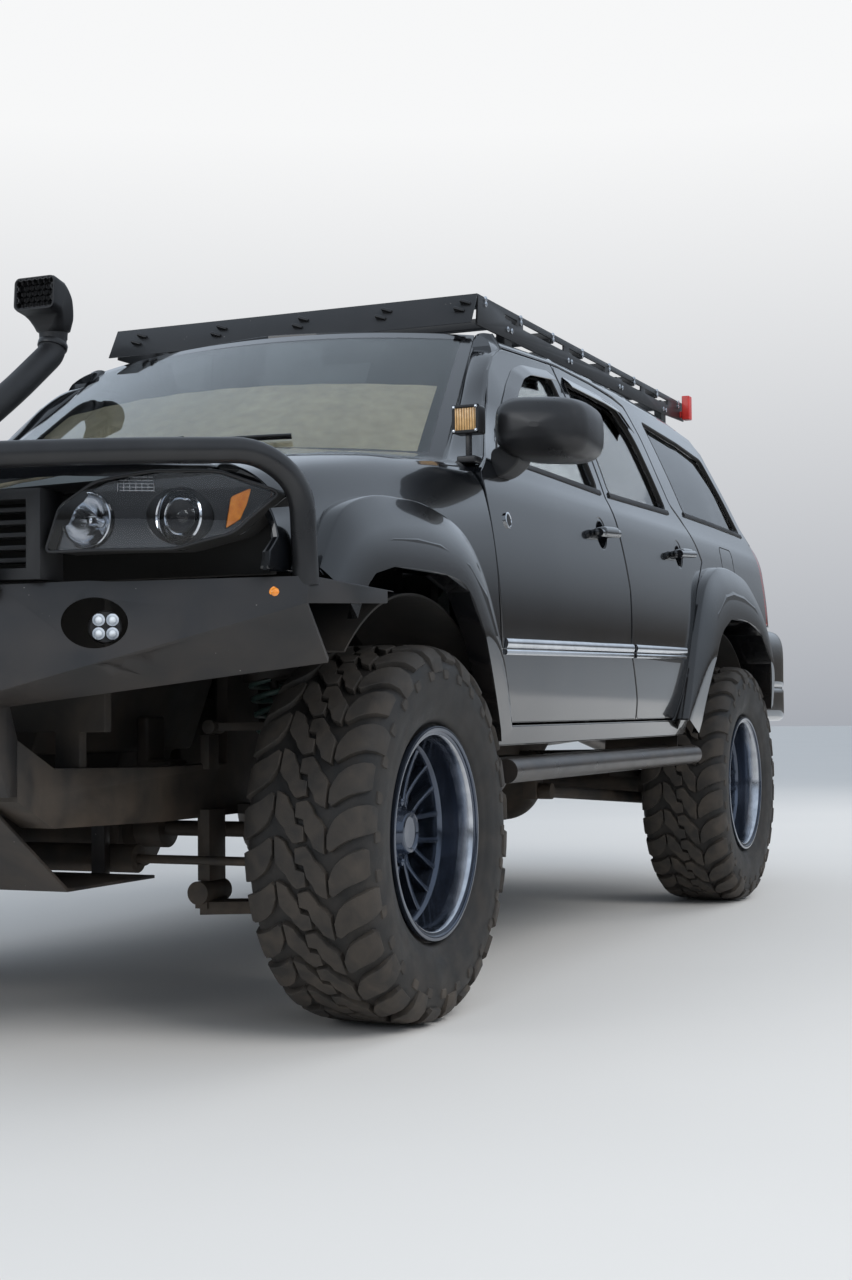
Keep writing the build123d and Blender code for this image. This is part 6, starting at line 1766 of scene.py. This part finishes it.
bothPlain("strut_spring", [turnTo(helix(0.0535, 0.0068, 0.192, length - 0.026, 8), foot, axis)], "spring",
          sharp=60)
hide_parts("front_coilovers")
seatLow, seatHigh = stationPlace(0.486, rearAxleStation, 0.462), stationPlace(0.486, rearAxleStation, 0.654)
up = seatHigh - seatLow
bothPlain("rear_spring", [turnTo(helix(0.056, 0.007, 0.004, 0.188, 5), seatLow, up, (1, 0, 0))], "spring",
          sharp=60)
stops = [turnTo(turnedShape([(0.0, 0.0), (0.0, 0.045), (0.004, 0.047), (0.01, 0.03), (0.05, 0.024),
                             (0.054, 0.0)], 32), seatLow, up, (1, 0, 0)),
         turnTo(turnedShape([(0.192, 0.0), (0.192, 0.048), (0.186, 0.048), (0.182, 0.03), (0.14, 0.026),
                             (0.132, 0.018), (0.13, 0.0)], 32), seatLow, up, (1, 0, 0))]
bothPlain("rear_stops", stops, "chassis", sharp=40)
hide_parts("rear_springs")
print("springs made")

# Rack: bolts, and a red clamp at its rear corner
bolt = turnedShape([(0.0, 0.0085), (0.0042, 0.0082), (0.0052, 0.0068), (0.0052, 0.004), (0.003, 0.0036),
                    (0.003, 0.0)], 12)
railFace, rackFront, rackRear, boltPairs = 0.5998, 1.08, 3.22, 8
bolts = []
for index in range(boltPairs):
    station = rackFront + 0.06 + (rackRear - rackFront - 0.14) * index / (boltPairs - 1)
    for z in (1.8475, 1.8625):
        bolts.append(turnTo(bolt, stationPlace(railFace, station, z), (1, 0, 0)))
for station in (1.33, 1.87, 2.41, 2.95):
    for dy in (-0.016, 0.016):
        bolts.append(turnTo(bolt, stationPlace(railFace, station + dy, 1.808), (1, 0, 0)))
bothPlain("rack_bolts", bolts, "bright", sharp=40)
tabs = []
for x in (-0.505, -0.225, 0.05, 0.32, 0.565):
    for up, dx in ((0.42, -0.007), (0.66, 0.007)):
        tabs.append(roundedBox(stationPlace(x + dx, 1.0285 + 0.052 * up, 1.779 + 0.092 * up),
                               (0.034, 0.016, 0.0095), 0.003,
                               axes=[[0.94, 0.1, -0.32], [0.0, 0.87, -0.49], [0.3, 0.45, 0.84]]))
addSolids("fairing_tabs", tabs, "tube", sharp=50)
clamp = [roundedBox(stationPlace(0.624, 3.18, 1.845), (0.03, 0.04, 0.092), 0.004),
         roundedBox(stationPlace(0.606, 3.18, 1.82), (0.02, 0.03, 0.024), 0.003)]
addSolids("rack_clamp", clamp, "signal", sharp=40)
print("rack fittings made")

# Rear bumper
# A section swept round the bumper's plan; the numbers are (outwards, height) from the plan line.
bumperPlan = [(0.908, 3.214), (0.902, 3.55), (0.858, 3.72), (0.72, 3.83), (0.4, 3.882), (0.0, 3.9)]
planLine = roundedPath([(x, y, 0.0) for x, y in bumperPlan + [(-x, y) for x, y in reversed(bumperPlan[:-1])]],
                       0.16, 0.03)
section = smoothPath([(-0.06, 0.634), (-0.02, 0.633), (-0.004, 0.644), (-0.0005, 0.672), (-0.0005, 0.74)], 18)
section = np.vstack([section,
                     smoothPath([(-0.0005, 0.752), (-0.006, 0.76), (-0.006, 0.768), (-0.0005, 0.776)], 8),
                     smoothPath([(-0.0005, 0.79), (-0.0005, 0.9), (-0.008, 0.95), (-0.026, 0.978),
                                 (-0.055, 0.988), (-0.062, 0.985)], 26)])
along = unit(np.gradient(planLine, axis=0))
across = np.column_stack([along[:, 1], -along[:, 0], np.zeros(len(along))])
across *= np.sign((across * (planLine - [0, 3.2, 0])).sum(1))[:, None]
coverThickness, deckHeight = 0.004, 0.88
swept = (planLine[:, None] + across[:, None] * section[None, :, 0:1]
         + np.array([0, 0, 1.0]) * section[None, :, 1:2])
inner = swept - across[:, None] * coverThickness
rows, columns = swept.shape[:2]
cover = (rowPlace(np.vstack([swept.reshape(-1, 3), inner.reshape(-1, 3)])),
         [gridFaces(rows, columns), gridFaces(rows, columns)[:, ::-1] + rows * columns], None)
addSolids("rear_bumper_cover", [cover], "paint", sharp=40, replaced=("rear_bumper",))


def deckLevel(u, v):
    return np.column_stack([u, v + frontAxleY, np.full(len(u), deckHeight)])


deck = trimmedSheet(mirrored([(0.0, 3.874), (0.4, 3.857), (0.69, 3.806), (0.69, 3.77), (0.0, 3.77)]), [],
                    deckLevel, deckLevel, radius=0.01, spacing=0.05, flange=0.02)
addPiece("rear_bumper_deck", deck, "plastic", "vehicle")
bars = [roundedBox(stationPlace(side * 0.369, 3.78, 0.655), (0.07, 0.15, 0.04), 0.006) for side in (-1, 1)]
addSolids("rear_bumper_bars", bars, "chassis", sharp=40)
print("rear bumper made")
